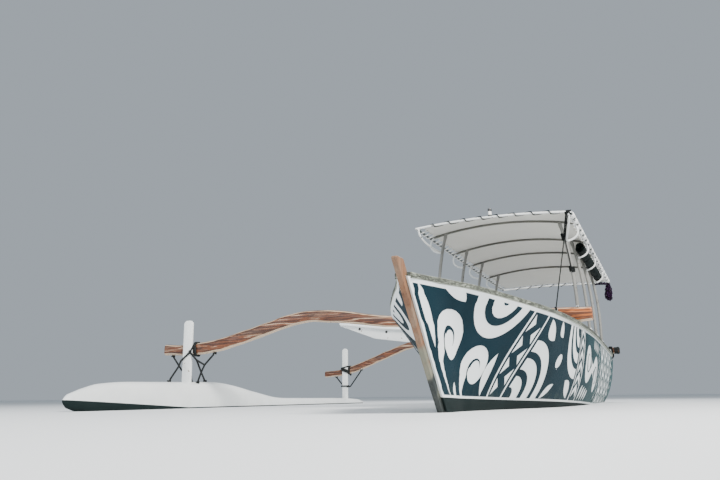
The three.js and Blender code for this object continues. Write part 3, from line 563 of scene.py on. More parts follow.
@dataclass(frozen=True)
class Rope(Finish):
    """Laid or braided line on its UV map: x along in metres, y once round."""

    lay: float = 0.016
    strands: float = 3.0
    fuzz: float = 0.12

    def dress(self, graph: Graph) -> None:
        """Slanting strands, with painted shade in the valleys between them."""
        graph.set("Specular IOR Level", 0.12)
        along = graph.math("DIVIDE", graph.axis(Axis.X, uv=True), self.lay)
        turn = graph.math("ADD", along, graph.axis(Axis.Y, uv=True))
        phase = graph.math("MULTIPLY", turn, self.strands * 2 * math.pi)
        ridge = graph.math("ABSOLUTE", graph.math("SINE", graph.math("MULTIPLY", phase, 0.5)))
        hair = graph.noise(graph.place((900, 12, 1), uv=True), 1.0, 3)
        # painted shade: the valleys between the strands are darkened
        color = graph.mix(graph.band(ridge, 0.0, 0.7, 0.75, 0), self.color, shade(self.color, 0.28))
        color = graph.mix(graph.band(hair, 0.45, 0.7, 0, self.fuzz), color, shade(self.color, 1.7, 0.06))
        graph.set("Base Color", color)
        graph.set("Roughness", self.roughness)
        graph.bump(ridge, 0.0012, 0.8)


@dataclass(frozen=True)
class Moulded(Finish):
    """Moulded plastic, rubber or a lens with a fine grain."""

    grain: float = 260.0
    depth: float = 0.0003
    coat: float = 0.0
    glow: float = 0.0
    dust: float = 0.1

    def dress(self, graph: Graph) -> None:
        """A moulded grain, scuffs and dust."""
        graph.set("Coat Weight", self.coat)
        if self.glow:
            graph.set("Subsurface Weight", self.glow)
            graph.set("Subsurface Radius", (0.02, 0.02, 0.018))
        place = graph.place()
        scuff = graph.noise(place, 11.0, 7, 0.3)
        pale = shade(self.color, 1.25, 0.05)
        graph.set("Base Color", graph.mix(graph.band(scuff, 0.45, 0.75, 0, self.dust), self.color, pale))
        low, high = self.roughness * 0.85, min(1.0, self.roughness * 1.3)
        graph.set("Roughness", graph.band(scuff, 0.3, 0.7, low, high))
        graph.bump(graph.noise(place, self.grain, 2), self.depth, 0.5)


@dataclass(frozen=True)
class Petals(Finish):
    """Blossoms that are dark at the throat and paler at the rim, by the layer named tint."""

    rim: Color = (0.4, 0.16, 0.45)

    def dress(self, graph: Graph) -> None:
        """Fades each petal from its throat to its rim, with fine veins."""
        graph.set("Specular IOR Level", 0.1)
        graph.set("Sheen Weight", 0.3)
        tint = graph.add("Attribute", {}, "Fac", attribute_name="tint")
        veins = graph.noise(graph.place(), 180.0, 4)
        color = graph.mix(tint, self.color, self.rim)
        color = graph.mix(graph.band(veins, 0.4, 0.7, 0, 0.4), color, shade(self.color, 0.5))
        graph.set("Base Color", color)
        graph.bump(veins, 0.0006, 0.5)


class Form:
    """A mesh in the making, shaped with bmesh operators."""

    MERGE = 1e-6
    TUBE_MERGE = 1e-7
    NODE_MERGE = 2e-5
    NODE_FLAT = 0.6
    RIM_ANGLE = 60.0

    def __init__(self) -> None:
        """Starts empty."""
        self.bm = bmesh.new()
        self.uv()

    def uv(self) -> bmesh.types.BMLayerItem:
        """The form's UV layer."""
        layers = self.bm.loops.layers.uv
        return layers.get("UVMap") or layers.new("UVMap")

    def mesh(self, name: str) -> bpy.types.Mesh:
        """The form as a mesh; the form is used up."""
        mesh = bpy.data.meshes.new(name)
        self.bm.to_mesh(mesh)
        self.bm.free()
        return mesh

    def stamp(self, other: "Form", places: Iterable[Matrix] = (Matrix.Identity(4),)) -> "Form":
        """Adds another form at each place; the other is used up.

        Args:
            other: The form to repeat.
            places: A matrix for each copy.

        Returns:
            This form.
        """
        mesh = other.mesh("stamp")
        for place in places:
            copy = mesh.copy()
            copy.transform(place)
            if place.determinant() < 0:
                copy.flip_normals()
            self.bm.from_mesh(copy)
            bpy.data.meshes.remove(copy)
        bpy.data.meshes.remove(mesh)
        return self

    def soften(self, verts: Iterable, width: float, segments: int = 2, angle: float = 28.0) -> None:
        """Bevels the edges between faces that meet at more than an angle."""
        if width <= 0:
            return
        limit = math.radians(angle)
        edges = {e for v in verts for e in v.link_edges if e.is_manifold and e.calc_face_angle(0) > limit}
        bmesh.ops.bevel(self.bm, geom=list(edges), offset=width, offset_type="OFFSET", segments=segments,
                        profile=0.5, affect="EDGES", clamp_overlap=True, material=-1)

    def soften_rims(self, width: float) -> None:
        """Bevels the rims of a wrapped grid's two closed ends."""
        rims = {v for face in self.bm.faces if len(face.verts) > 4 for v in face.verts}
        self.soften(rims, width, 2, self.RIM_ANGLE)

    def box(self, low: Sequence[float], high: Sequence[float], bevel: float = 0.003,
            segments: int = 2) -> "Form":
        """Adds a box between two corners, with its edges eased."""
        size = Vector(high) - Vector(low)
        place = Matrix.Translation((Vector(high) + Vector(low)) / 2) @ Matrix.Diagonal((*size, 1))
        made = bmesh.ops.create_cube(self.bm, size=1.0, matrix=place)
        self.soften(made["verts"], bevel, segments)
        return self

    def rod(self, a: Sequence[float], b: Sequence[float], radius: float, end: float | None = None,
            sides: int = 20, bevel: float = 0.0) -> "Form":
        """Adds a round bar between two points.

        Args:
            a: Its start.
            b: Its end.
            radius: Its radius at the start.
            end: Its radius at the end, if that differs.
            sides: Faces round it.
            bevel: How far its rims are eased.

        Returns:
            This form.
        """
        a, b = Vector(a), Vector(b)
        place = Matrix.Translation((a + b) / 2) @ pointing(b - a)
        made = bmesh.ops.create_cone(self.bm, cap_ends=True, cap_tris=False, segments=sides, radius1=radius,
                                     radius2=radius if end is None else end, depth=(b - a).length,
                                     matrix=place)
        self.soften(made["verts"], bevel, 2, 50)
        return self

    def turned(self, profile: Sequence[Flat], at: Sequence[float] = (0, 0, 0),
               axis: Sequence[float] = (0, 0, 1), steps: int = 28) -> "Form":
        """Adds a turned solid from rows of radius and distance along an axis."""
        turned = Form()
        verts = [turned.bm.verts.new((r, 0, h)) for r, h in profile]
        edges = [turned.bm.edges.new(pair) for pair in zip(verts, verts[1:])]
        bmesh.ops.spin(turned.bm, geom=verts + edges, cent=(0, 0, 0), axis=(0, 0, 1), angle=2 * math.pi,
                       steps=steps, use_merge=True)
        bmesh.ops.remove_doubles(turned.bm, verts=turned.bm.verts, dist=self.MERGE)
        bmesh.ops.recalc_face_normals(turned.bm, faces=turned.bm.faces)
        return self.stamp(turned, [Matrix.Translation(Vector(at)) @ pointing(axis)])

    def plate(self, outline: Sequence[Sequence[float]], depth: Sequence[float], bevel: float = 0.002,
              segments: int = 2) -> "Form":
        """Adds a flat outline drawn out by a depth."""
        plate = Form()
        face = plate.bm.faces.new([plate.bm.verts.new(p) for p in outline])
        made = bmesh.ops.extrude_face_region(plate.bm, geom=[face])
        moved = [g for g in made["geom"] if isinstance(g, bmesh.types.BMVert)]
        bmesh.ops.translate(plate.bm, verts=moved, vec=depth)
        bmesh.ops.recalc_face_normals(plate.bm, faces=plate.bm.faces)
        plate.soften(plate.bm.verts, bevel, segments)
        return self.stamp(plate)

    def tube(self, points: Sequence[Sequence[float]], radius: float, sides: int = 12,
             ring: bool = False) -> "Form":
        """Adds a round tube along points, with its UV map in metres along it.

        Args:
            points: The line at its middle.
            radius: Its radius.
            sides: Faces round it, an even number.
            ring: True where the line closes on itself.

        Returns:
            This form.
        """
        curve = bpy.data.curves.new("line", "CURVE")
        curve.dimensions = "3D"
        curve.bevel_depth = radius
        curve.bevel_resolution = (sides - 4) // 2
        curve.use_fill_caps = not ring
        spline = curve.splines.new("POLY")
        spline.points.add(len(points) - 1)
        for place, point in zip(spline.points, points):
            place.co = (*point, 1)
        spline.use_cyclic_u = ring
        line = bpy.data.objects.new("line", curve)
        mesh = bpy.data.meshes.new_from_object(line)
        tube = Form()
        tube.bm.from_mesh(mesh)
        data = bpy.data
        for leftover, store in ((line, data.objects), (curve, data.curves), (mesh, data.meshes)):
            store.remove(leftover)
        bmesh.ops.remove_doubles(tube.bm, verts=tube.bm.verts, dist=self.TUBE_MERGE)
        length = path_length([Vector(p) for p in points])
        layer = tube.uv()
        for face in tube.bm.faces:
            for loop in face.loops:
                loop[layer].uv.x *= length
        return self.stamp(tube)

    def sheet(self, at: Callable[[float, float], Vector], along: int, across: int, size: Flat = (1, 1),
              wrap: bool = False, caps: bool = False) -> "Form":
        """Adds a grid laid on a surface.

        Args:
            at: The surface's point for two shares from 0 to 1.
            along: Steps of the first share.
            across: Steps of the second share.
            size: The UV map's size in metres.
            wrap: True where the second share comes back to its start.
            caps: True to close the two ends of a wrapped grid.

        Returns:
            This form.
        """
        grid = Form()
        bm = grid.bm
        bmesh.ops.create_grid(bm, x_segments=along, y_segments=across, size=0.5)
        layer = grid.uv()
        for face in bm.faces:
            for loop in face.loops:
                u, w = loop.vert.co.x + 0.5, loop.vert.co.y + 0.5
                loop[layer].uv = (u * size[0], w * size[1])
        for vert in bm.verts:
            vert.co = at(vert.co.x + 0.5, vert.co.y + 0.5)
        if wrap:
            bmesh.ops.remove_doubles(bm, verts=bm.verts, dist=self.MERGE)
        if caps:
            bmesh.ops.holes_fill(bm, edges=[e for e in bm.edges if e.is_boundary], sides=0)
        bmesh.ops.recalc_face_normals(bm, faces=bm.faces)
        return self.stamp(grid)

    def facing(self, way: Vector) -> "Form":
        """Turns an open sheet's faces to one side."""
        bmesh.ops.recalc_face_normals(self.bm, faces=self.bm.faces)
        if sum(face.normal.dot(way) * face.calc_area() for face in self.bm.faces) < 0:
            bmesh.ops.reverse_faces(self.bm, faces=self.bm.faces)
        return self

    def thicken(self, thickness: float) -> "Form":
        """Gives an open sheet a wall on the side that its faces turn away from."""
        bmesh.ops.solidify(self.bm, geom=self.bm.faces[:], thickness=thickness)
        return self

    def of_node(self, node: bpy.types.Object) -> "Form":
        """Adds a merged copy of a frame node, with its flat faces whole."""
        copy = Form()
        copy.bm.from_mesh(node.data)
        bmesh.ops.remove_doubles(copy.bm, verts=copy.bm.verts, dist=self.NODE_MERGE)
        bmesh.ops.dissolve_limit(copy.bm, angle_limit=math.radians(self.NODE_FLAT), verts=copy.bm.verts,
                                 edges=copy.bm.edges)
        return self.stamp(copy)

    def cut(self, at: Sequence[float], away: Sequence[float]) -> "Form":
        """Cuts off what lies on one side of a plane and closes the cut."""
        geom = self.bm.verts[:] + self.bm.edges[:] + self.bm.faces[:]
        made = bmesh.ops.bisect_plane(self.bm, geom=geom, dist=self.MERGE, plane_co=at, plane_no=away,
                                      clear_outer=True)
        edges = [g for g in made["geom_cut"] if isinstance(g, bmesh.types.BMEdge)]
        if edges:
            bmesh.ops.holes_fill(self.bm, edges=[e for e in edges if e.is_boundary], sides=0)
        return self


class Workshop:
    """Turns forms into named pieces that ride on the frame."""

    SHARP = 38.0
    BOARD_GAP = 0.003
    BOARD_EASE = 0.002

    def __init__(self, nodes: dict[str, bpy.types.Object]) -> None:
        """Keeps the frame's nodes at hand."""
        self.nodes = nodes

    def piece(self, name: str, form: Form, finish: Finish, replaces: Sequence[str] = (),
              body: Body = Body.HULL) -> bpy.types.Object:
        """Makes a piece of a form.

        Args:
            name: The piece's name.
            form: Its shape in the row frame, which is used up.
            finish: Its surface.
            replaces: Frame nodes that it stands for.
            body: The body that it rides on.

        Returns:
            The piece.
        """
        mesh = form.mesh(name)
        mesh.shade_smooth()
        mesh.set_sharp_from_angle(angle=math.radians(self.SHARP))
        mesh.materials.append(finish.material())
        piece = bpy.data.objects.new(name, mesh)
        link(piece)
        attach(piece, body.value)
        if replaces:
            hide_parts(*replaces)
        LOG.info("%s: %d faces on %s", name, len(mesh.polygons), body.value)
        return piece

    def dress(self, node: str, finish: Finish) -> None:
        """Gives a frame node its finish and leaves its shape."""
        mesh = self.nodes[node].data
        mesh.materials.clear()
        mesh.materials.append(finish.material())

    def eased(self, node: str, finish: Finish, width: float = 0.003, segments: int = 2,
              body: Body = Body.HULL) -> bpy.types.Object:
        """Stands a copy with eased edges in for a frame node."""
        form = Form().of_node(self.nodes[node])
        form.soften(form.bm.verts[:], width, segments)
        return self.piece(f"{node}_eased", form, finish, [node], body)

    def boards(self, node: str, name: str, finish: Finish, axis: Axis, pitch: float) -> bpy.types.Object:
        """Stands separate boards in for a frame node's plate.

        Args:
            node: The plate.
            name: The boards' name.
            finish: Their surface.
            axis: The direction across the boards.
            pitch: From one board to the next.

        Returns:
            The boards as one piece.
        """
        low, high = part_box(node)
        low, high = low[axis.value], high[axis.value]
        count = max(1, round((high - low) / pitch))
        step = (high - low) / count
        away = axis.vector()
        whole = Form()
        for k in range(count):
            board = Form().of_node(self.nodes[node])
            if k > 0:
                board.cut(away * (low + k * step + self.BOARD_GAP / 2), -away)
            if k < count - 1:
                board.cut(away * (low + (k + 1) * step - self.BOARD_GAP / 2), away)
            board.soften(board.bm.verts[:], self.BOARD_EASE, 1)
            whole.stamp(board)
        return self.piece(name, whole, finish, [node])


@dataclass(frozen=True)
class Station:
    """One section of the planked hull."""

    sheer_x: float
    keel_x: float
    half: float
    sheer_z: float
    keel_z: float
    garboard: float
    bilge_out: float
    bilge_up: float

    def row(self) -> tuple[float, ...]:
        """The station's numbers in order."""
        return tuple(getattr(self, name) for name in self.__dataclass_fields__)


class HullForm:
    """The smooth surface of the planking, as the frame's builder drew it."""

    STATIONS = (
        Station(5.49, 4.18, 0.05, 1.18, -0.33, 0.05, 1.0, 0.13),
        Station(5.1, 3.96, 0.195, 1.174, -0.372, 0.042, 0.4, 0.5),
        Station(4.7, 3.72, 0.385, 1.156, -0.392, 0.034, 0.4, 0.5),
        Station(4.2, 3.4, 0.612, 1.11, -0.402, 0.03, 0.42, 0.48),
        Station(3.6, 3.02, 0.82, 1.064, -0.406, 0.028, 0.45, 0.43),
        Station(2.9, 2.5, 0.92, 1.05, -0.406, 0.027, 0.57, 0.27),
        Station(1.65, 1.5, 0.957, 1.062, -0.402, 0.027, 0.84, 0.08),
        Station(0.0, 0.0, 0.962, 1.056, -0.396, 0.027, 0.95, 0.02),
        Station(-1.8, -1.8, 0.918, 1.027, -0.376, 0.027, 0.95, 0.02),
        Station(-3.4, -3.4, 0.88, 0.99, -0.332, 0.027, 0.95, 0.02),
        Station(-4.525, -4.525, 0.85, 0.962, -0.292, 0.027, 0.94, 0.02),
    )
    BOW_CURVE = 0.21
    RAIL_DEPTH = 0.08
    RAIL_SHOWN = 0.052
    RAIL_OUT = 0.03
    RAIL_IN = 0.045
    KEEL_HALF = 0.026
    PLANK = 0.024
    SEAM = 0.5
    LOW = -0.4
    HIGH = 1.12
    LEVEL = 0.02
    GRID = (160, 40)

    def __init__(self) -> None:
        """Tabulates the half breadth against height and length."""
        self.rows = [[float(i), *station.row()] for i, station in enumerate(self.STATIONS)]
        self.last = len(self.rows) - 1
        along, up = self.GRID
        lines = [[self.skin(self.last * i / along, j / up) for j in range(up + 1)] for i in range(along + 1)]
        count = round((self.HIGH - self.LOW) / self.LEVEL)
        self.table = [self._level(lines, self.LOW + k * self.LEVEL) for k in range(count + 1)]

    @staticmethod
    def _level(lines: list[list[Vector]], z: float) -> list[tuple[float, float]]:
        """Length and half breadth of one height, from the stern forward."""
        found = []
        for line in lines:
            for a, b in zip(line, line[1:]):
                if (a.z <= z < b.z) or (b is line[-1] and z >= b.z):
                    share = min((z - a.z) / max(b.z - a.z, TINY), 1.0)
                    found.append((lerp(a.x, b.x, share), lerp(a.y, b.y, share)))
                    break
        return sorted(found)

    def station(self, s: float) -> Station:
        """The section at a place between the stations."""
        return Station(*between(self.rows, s))

    def skin(self, s: float, t: float) -> Vector:
        """A point outside the port planking, from keel to sheer by t."""
        at = self.station(s)
        top = at.sheer_z - self.RAIL_DEPTH
        mid = (
            lerp(at.keel_x, at.sheer_x, self.BOW_CURVE),
            max(at.garboard, at.half * at.bilge_out),
            lerp(at.keel_z, top, at.bilge_up),
        )
        low, high = Vector((at.keel_x, at.garboard, at.keel_z)), Vector((at.sheer_x, at.half, top))
        return quadratic(low, Vector(mid), high, t)

    def half(self, x: float, z: float) -> float:
        """The half breadth outside the planking."""
        place = min(max((z - self.LOW) / self.LEVEL, 0.0), len(self.table) - 1.001)
        k = int(place)
        near = []
        for level in (self.table[k], self.table[k + 1]):
            i, j = 0, len(level) - 1
            while j - i > 1:
                m = (i + j) // 2
                i, j = (m, j) if level[m][0] <= x else (i, m)
            (xa, ya), (xb, yb) = level[i], level[j]
            near.append(lerp(ya, yb, (x - xa) / max(xb - xa, TINY)))
        return lerp(near[0], near[1], place - k)

    def normal(self, x: float, z: float) -> Vector:
        """The outward direction of the port planking."""
        step = 0.02
        slope_x = (self.half(x + step, z) - self.half(x - step, z)) / (2 * step)
        slope_z = (self.half(x, z + step) - self.half(x, z - step)) / (2 * step)
        return Vector((-slope_x, 1.0, -slope_z)).normalized()

    def on(self, x: float, z: float, lift: float = 0.0) -> Vector:
        """A point on or over the port planking, by its length and height."""
        return Vector((x, self.half(x, z), z)) + self.normal(x, z) * lift

    def sheer(self, x: float) -> tuple[float, float]:
        """The half breadth and height of the rail's top at a length."""
        rows = [(station.sheer_x, station.half, station.sheer_z) for station in self.STATIONS]
        half, top = between(rows, x)
        return half, top

    def bow_x(self, z: float) -> float:
        """Where the planking meets the stem at a height."""
        t = 0.0
        while t < 1 and self.skin(0, t).z < z:
            t += 0.01
        return self.skin(0, t).x


class Ink(Enum):
    """The two paints of the hull's pattern."""

    BARE = 0
    DARK = 1


class Stencil:
    """Flat outlines painted in order on a strip, each over those before it.

    The strip's first coordinate runs aft from the stem and its second up from
    the boot top, both in metres.
    """

    DISC_POINTS = 28
    CURL_POINTS = 26
    LEAF_POINTS = 12
    BUD = 0.62
    TIP = 0.06

    def __init__(self, length: float, height: float) -> None:
        """Starts a bare strip."""
        self.length, self.height = length, height
        self.outlines: list[list[Flat]] = []
        self.inks: list[Ink] = []

    def fill(self, ink: Ink, outline: Sequence[Flat]) -> None:
        """Paints inside one outline, which is turned to run the same way round as the rest."""
        points = [tuple(p) for p in outline]
        area = sum(a[0] * b[1] - b[0] * a[1] for a, b in zip(points, points[1:] + points[:1]))
        self.outlines.append(points if area > 0 else points[::-1])
        self.inks.append(ink)

    def ribbon(self, ink: Ink, line: Sequence[Flat], width: Callable[[float], float]) -> None:
        """Paints a band along a line, with its width by the share of the way."""
        left, right = [], []
        points = [Vector(p) for p in line]
        for i, point in enumerate(points):
            ahead = points[min(i + 1, len(points) - 1)] - points[max(i - 1, 0)]
            side = Vector((-ahead.y, ahead.x)).normalized() * width(i / (len(points) - 1)) / 2
            left.append(point + side)
            right.append(point - side)
        self.fill(ink, [tuple(p) for p in left + right[::-1]])

    @staticmethod
    def around(centre: Flat, radius: float, turns: Iterable[float]) -> list[Flat]:
        """Points of a circle at some angles."""
        return [(centre[0] + radius * math.cos(a), centre[1] + radius * math.sin(a)) for a in turns]

    def disc(self, ink: Ink, centre: Flat, radius: float) -> None:
        """Paints a round spot."""
        turns = [2 * math.pi * k / self.DISC_POINTS for k in range(self.DISC_POINTS)]
        self.fill(ink, self.around(centre, radius, turns))

    def arc(self, ink: Ink, centre: Flat, radius: float, width: float, start: float, end: float) -> None:
        """Paints part of a ring between two angles in degrees."""
        count = max(6, int(abs(end - start) * radius / 2))
        turns = [math.radians(lerp(start, end, k / count)) for k in range(count + 1)]
        self.ribbon(ink, self.around(centre, radius, turns), lambda _: width)

    def curl(self, ink: Ink, centre: Flat, radius: float, turns: float, start: float, hand: int,
             width: float, tail: Sequence[Flat] = ()) -> None:
        """Paints a curling frond that unwinds from a round bud into a tail.

        Args:
            ink: The paint.
            centre: The bud's middle.
            radius: How far out the curl goes before its tail.
            turns: How many times it goes round.
            start: The angle in degrees where it leaves the curl.
            hand: 1 or -1, which way it turns.
            width: Its greatest width.
            tail: Points on from the curl.
        """
        count = int(self.CURL_POINTS * turns)
        bud = width * self.BUD
        line = []
        for k in range(count + 1):
            share = k / count
            angle = math.radians(start) - hand * (1 - share) * turns * 2 * math.pi
            reach = lerp(bud * 0.7, radius, share**0.8)
            line += self.around(centre, reach, [angle])
        if tail:
            way = bowed([Vector((*p, 0)) for p in [line[-2], line[-1], *tail]], 9)[9:]
            line += [(p.x, p.y) for p in way[1:]]
        split = (count + 1) / len(line)

        def swell(t: float) -> float:
            if t < split:
                return width * lerp(self.BUD, 1.0, smooth(t / split))
            return width * lerp(1.0, self.TIP, ((t - split) / (1 - split + TINY)) ** 1.5)

        self.ribbon(ink, line, swell)
        self.disc(ink, centre, bud)

    def leaf(self, ink: Ink, start: Flat, end: Flat, bulge: float, lean: float = 0.0) -> None:
        """Paints a pointed leaf between two points, which may lean to one side."""
        a, b = Vector(start), Vector(end)
        side = Vector((-(b - a).y, (b - a).x)).normalized()
        outline = []
        for sign in (1, -1):
            for k in range(self.LEAF_POINTS):
                t = k / self.LEAF_POINTS if sign > 0 else 1 - k / self.LEAF_POINTS
                off = (sign * bulge + lean) * 4 * t * (1 - t)
                outline.append(tuple(a.lerp(b, t) + side * off))
        self.fill(ink, outline)

    def teeth(self, ink: Ink, start: Flat, end: Flat, count: int, reach: float) -> None:
        """Paints a row of triangles along a line, pointing to its left by a reach."""
        a, b = Vector(start), Vector(end)
        side = Vector((-(b - a).y, (b - a).x)).normalized() * reach
        for k in range(count):
            p, q = a.lerp(b, (k + 0.08) / count), a.lerp(b, (k + 0.92) / count)
            self.fill(ink, [tuple(p), tuple(q), tuple((p + q) / 2 + side)])

    def chevrons(self, ink: Ink, at: float, width: float, count: int, thick: float) -> None:
        """Paints a column of chevrons from the strip's foot to its head."""
        pitch = self.height / count
        for k in range(count):
            h = (k + 0.2) * pitch
            rise = width * 0.42
            line = [(at, h), (at + width / 2, h + rise), (at + width, h)]
            self.fill(ink, line + [(p[0], p[1] + thick) for p in reversed(line)])

    def regions(self, step: float) -> tuple[list[Flat], list[tuple[int, ...]]]:
        """The dark paint as flat triangles no wider than a step.

        Returns:
            The corners and the triangles.
        """
        verts: list[Vector] = []
        faces: list[list[int]] = []
        edges: list[tuple[int, int]] = []
        frame = [(0.0, 0.0), (self.length, 0.0), (self.length, self.height), (0.0, self.height)]
        for outline in [frame, *self.outlines]:
            faces.append(list(range(len(verts), len(verts) + len(outline))))
            verts += [Vector(p) for p in outline]
        rules = [((k * step, 0.0), (k * step, self.height)) for k in range(1, int(self.length / step))]
        rules += [((0.0, k * step), (self.length, k * step)) for k in range(1, int(self.height / step))]
        for rule in rules:
            edges.append((len(verts), len(verts) + 1))
            verts += [Vector(end) for end in rule]
        out, _, tris, _, _, owners = delaunay_2d_cdt(verts, edges, faces, 1, 1e-5)
        dark = [tri for tri, owner in zip(tris, owners)
                if 0 in owner and ([Ink.DARK] + self.inks)[max(owner)] is Ink.DARK]
        return [tuple(p) for p in out], dark


HULL_WHITE = Paint("hull_white", Slot.HULL_PAINT, (0.84, 0.87, 0.87), 0.45, boot_color=(0.005, 0.01, 0.01),
                   boot_height=0.026, boot_slope=0.0245, shine=0.15)
LOW_WHITE = replace(HULL_WHITE, name="hull_white_low", slot=Slot.BOTTOM_PAINT)
# the teal lightens aft: partly faded paint, partly painted reflection
HULL_TEAL = Paint("hull_teal", Slot.HULL_PAINT, (0.006, 0.022, 0.032), 0.6, aft_color=(0.06, 0.12, 0.125),
                  grime=0.1, shine=0.06)
BOTTOM_PAINT = Paint("bottom_black", Slot.BOTTOM_PAINT, (0.005, 0.01, 0.01), 0.8, grime=0.1, shine=0.05)
WHITE_PAINT = Paint("timber_white", Slot.WHITE, (0.84, 0.86, 0.85), 0.42, chips=0.02)
# the rail's pale rims are partly painted highlight
RAIL_WOOD = LogTimber("rail_wood", Slot.WEATHERED, (0.13, 0.135, 0.105), 0.85, dark=(0.035, 0.038, 0.03),
                      weather=(0.13, 0.145, 0.115), weathered=0.75, worn=(0.36, 0.38, 0.32), bright_from=9.0)
STEM_WOOD = Timber("stem_wood", Slot.VARNISHED, (0.2, 0.082, 0.03), 0.6, dark=(0.06, 0.022, 0.01),
                   weather=(0.3, 0.22, 0.15), weathered=0.25, grain=Axis.Z, coat=0.1, wet=True)
BITT_WOOD = Timber("bitt_wood", Slot.VARNISHED, (0.31, 0.14, 0.06), 0.45, dark=(0.12, 0.05, 0.02),
                   weathered=0.2, grain=Axis.Z, coat=0.15)
# the log's pale rims are partly painted highlight
LOG_WOOD = LogTimber("log_wood", Slot.LOG, (0.2, 0.058, 0.017), 0.55, dark=(0.035, 0.01, 0.005),
                     weather=(0.4, 0.24, 0.14), weathered=0.14, grain=Axis.Y, rings=13.0, coat=0.12,
                     worn=(0.62, 0.47, 0.33), bright=(0.45, 0.12, 0.018))
DECK_WOOD = Timber("deck_wood", Slot.BOARDS, (0.42, 0.29, 0.17), 0.6, dark=(0.17, 0.1, 0.055),
                   weather=(0.44, 0.41, 0.35), weathered=0.35)
FRAME_WOOD = Timber("frame_wood", Slot.BOARDS, (0.38, 0.26, 0.15), 0.65, dark=(0.16, 0.1, 0.055),
                    weather=(0.42, 0.4, 0.34), weathered=0.3, grain=Axis.Y)
STEEL = Metal("steel", Slot.FITTING, (0.6, 0.61, 0.62), 0.32, rust=0.06)
BLACK_BOLT = Metal("black_bolt", Slot.FITTING, (0.03, 0.03, 0.03), 0.5, metallic=0.6, rust=0.1)
BRASS = Metal("brass_eyelet", Slot.FITTING, (0.62, 0.5, 0.27), 0.35, rust=0.0)
FLOAT_WHITE = Paint("float_white", Slot.WHITE, (0.84, 0.86, 0.85), 0.42, boot_color=(0.005, 0.011, 0.011),
                    boot_height=-0.085, boot_slope=0.055, boot_least=0.018, grime=0.05, shine=0.15)
TUBE_PAINT = Paint("tube_paint", Slot.TUBE, (0.76, 0.78, 0.77), 0.42, grime=0.0, chips=0.04,
                   under_color=(0.16, 0.15, 0.13))
# dark grey posts: painted shade on white-painted tubes; the chips are real
POST_PAINTED_SHADE = Paint("post_painted_shade", Slot.TUBE, (0.22, 0.22, 0.205), 0.45, grime=0.0, chips=0.05,
                   under_color=(0.09, 0.08, 0.065))
# dark arches: painted shade on white-painted tubes under the cover
ARCH_PAINTED_SHADE = Paint("arch_painted_shade", Slot.TUBE, (0.13, 0.13, 0.115), 0.5, grime=0.0)
# near-black edge tubes: painted shade on white-painted tubes
EDGE_TUBE_PAINTED_SHADE = Paint("edge_tube_painted_shade", Slot.TUBE, (0.07, 0.085, 0.085), 0.5, grime=0.0)
# the cover's greyer underside is painted shade
COVER_CLOTH = Cloth("cover_cloth", Slot.CANOPY, (0.84, 0.85, 0.83), 0.62, threads=900, sheen=0.1, crease=0.1,
                    back=(0.7, 0.7, 0.66))
HEM_CLOTH = Cloth("hem_cloth", Slot.CANOPY, (0.88, 0.89, 0.88), 0.6, threads=900, sheen=0.12)
CURTAIN_CLOTH = Cloth("curtain_cloth", Slot.CURTAIN, (0.003, 0.008, 0.0075), 0.9, threads=420, sheen=0.0,
                      crease=0.5)
BLACK_LINE = Rope("black_line", Slot.CURTAIN, (0.009, 0.011, 0.011), 0.8)
WHITE_LINE = Rope("white_line", Slot.CANOPY, (0.8, 0.81, 0.79), 0.7)
RUBBER = Moulded("black_rubber", Slot.CURTAIN, (0.004, 0.006, 0.006), 0.85, dust=0.02)
LENS = Moulded("lamp_lens", Slot.LAMP, (0.88, 0.88, 0.84), 0.16, grain=60.0, depth=0.0002, coat=0.6,
                glow=0.35)
BLACK_PLASTIC = Moulded("black_plastic", Slot.LAMP, (0.02, 0.02, 0.022), 0.42, coat=0.2)
SHELL = Metal("motor_shell", Slot.SHELL, (0.022, 0.026, 0.032), 0.22, metallic=0.2, grit=0.0001,
              scratch=0.06, coat=0.8)
SHELL_SATIN = Metal("motor_satin", Slot.SHELL, (0.03, 0.034, 0.04), 0.42, metallic=0.3, scratch=0.12,
                    coat=0.2)
CASTING = Metal("motor_casting", Slot.CASTING, (0.05, 0.055, 0.06), 0.5, metallic=0.5, grit=0.0005, rust=0.04)
CASTING_MOTOR = Metal("gearcase_enamel", Slot.CASTING, (0.035, 0.04, 0.046), 0.36, metallic=0.4, grit=0.0004,
                      scratch=0.25, coat=0.3)
SILVER_BAND = Metal("silver_band", Slot.SHELL, (0.55, 0.57, 0.6), 0.35, metallic=0.6, scratch=0.08)
BLACK_PLASTIC_MOTOR = Moulded("motor_plastic", Slot.SHELL, (0.015, 0.015, 0.017), 0.5)
ANODE = Metal("anode_zinc", Slot.CASTING, (0.42, 0.42, 0.4), 0.62, metallic=0.8, grit=0.0009, rust=0.05)
GRIP = Moulded("grip_rubber", Slot.SHELL, (0.018, 0.018, 0.02), 0.68, grain=420.0, dust=0.2)
RED_PLASTIC = Moulded("red_plastic", Slot.SHELL, (0.5, 0.03, 0.02), 0.35, coat=0.3)
BLADE_METAL = Metal("blade_enamel", Slot.BLADES, (0.05, 0.055, 0.06), 0.34, metallic=0.5, scratch=0.3,
                    coat=0.25)
STEEL_PROP = Metal("steel_nut", Slot.BLADES, (0.6, 0.6, 0.6), 0.35)
BLOSSOM = Petals("blossom", Slot.FLOWERS, (0.012, 0.003, 0.02), 0.8, rim=(0.045, 0.008, 0.06))


def squircle(share: float, power: float) -> Flat:
    """A point on a unit square with round corners, once round from share 0 to 1."""
    angle = 2 * math.pi * (share + 0.03)
    c, s = math.cos(angle), math.sin(angle)
    return signed_power(c, 2 / power), signed_power(s, 2 / power)


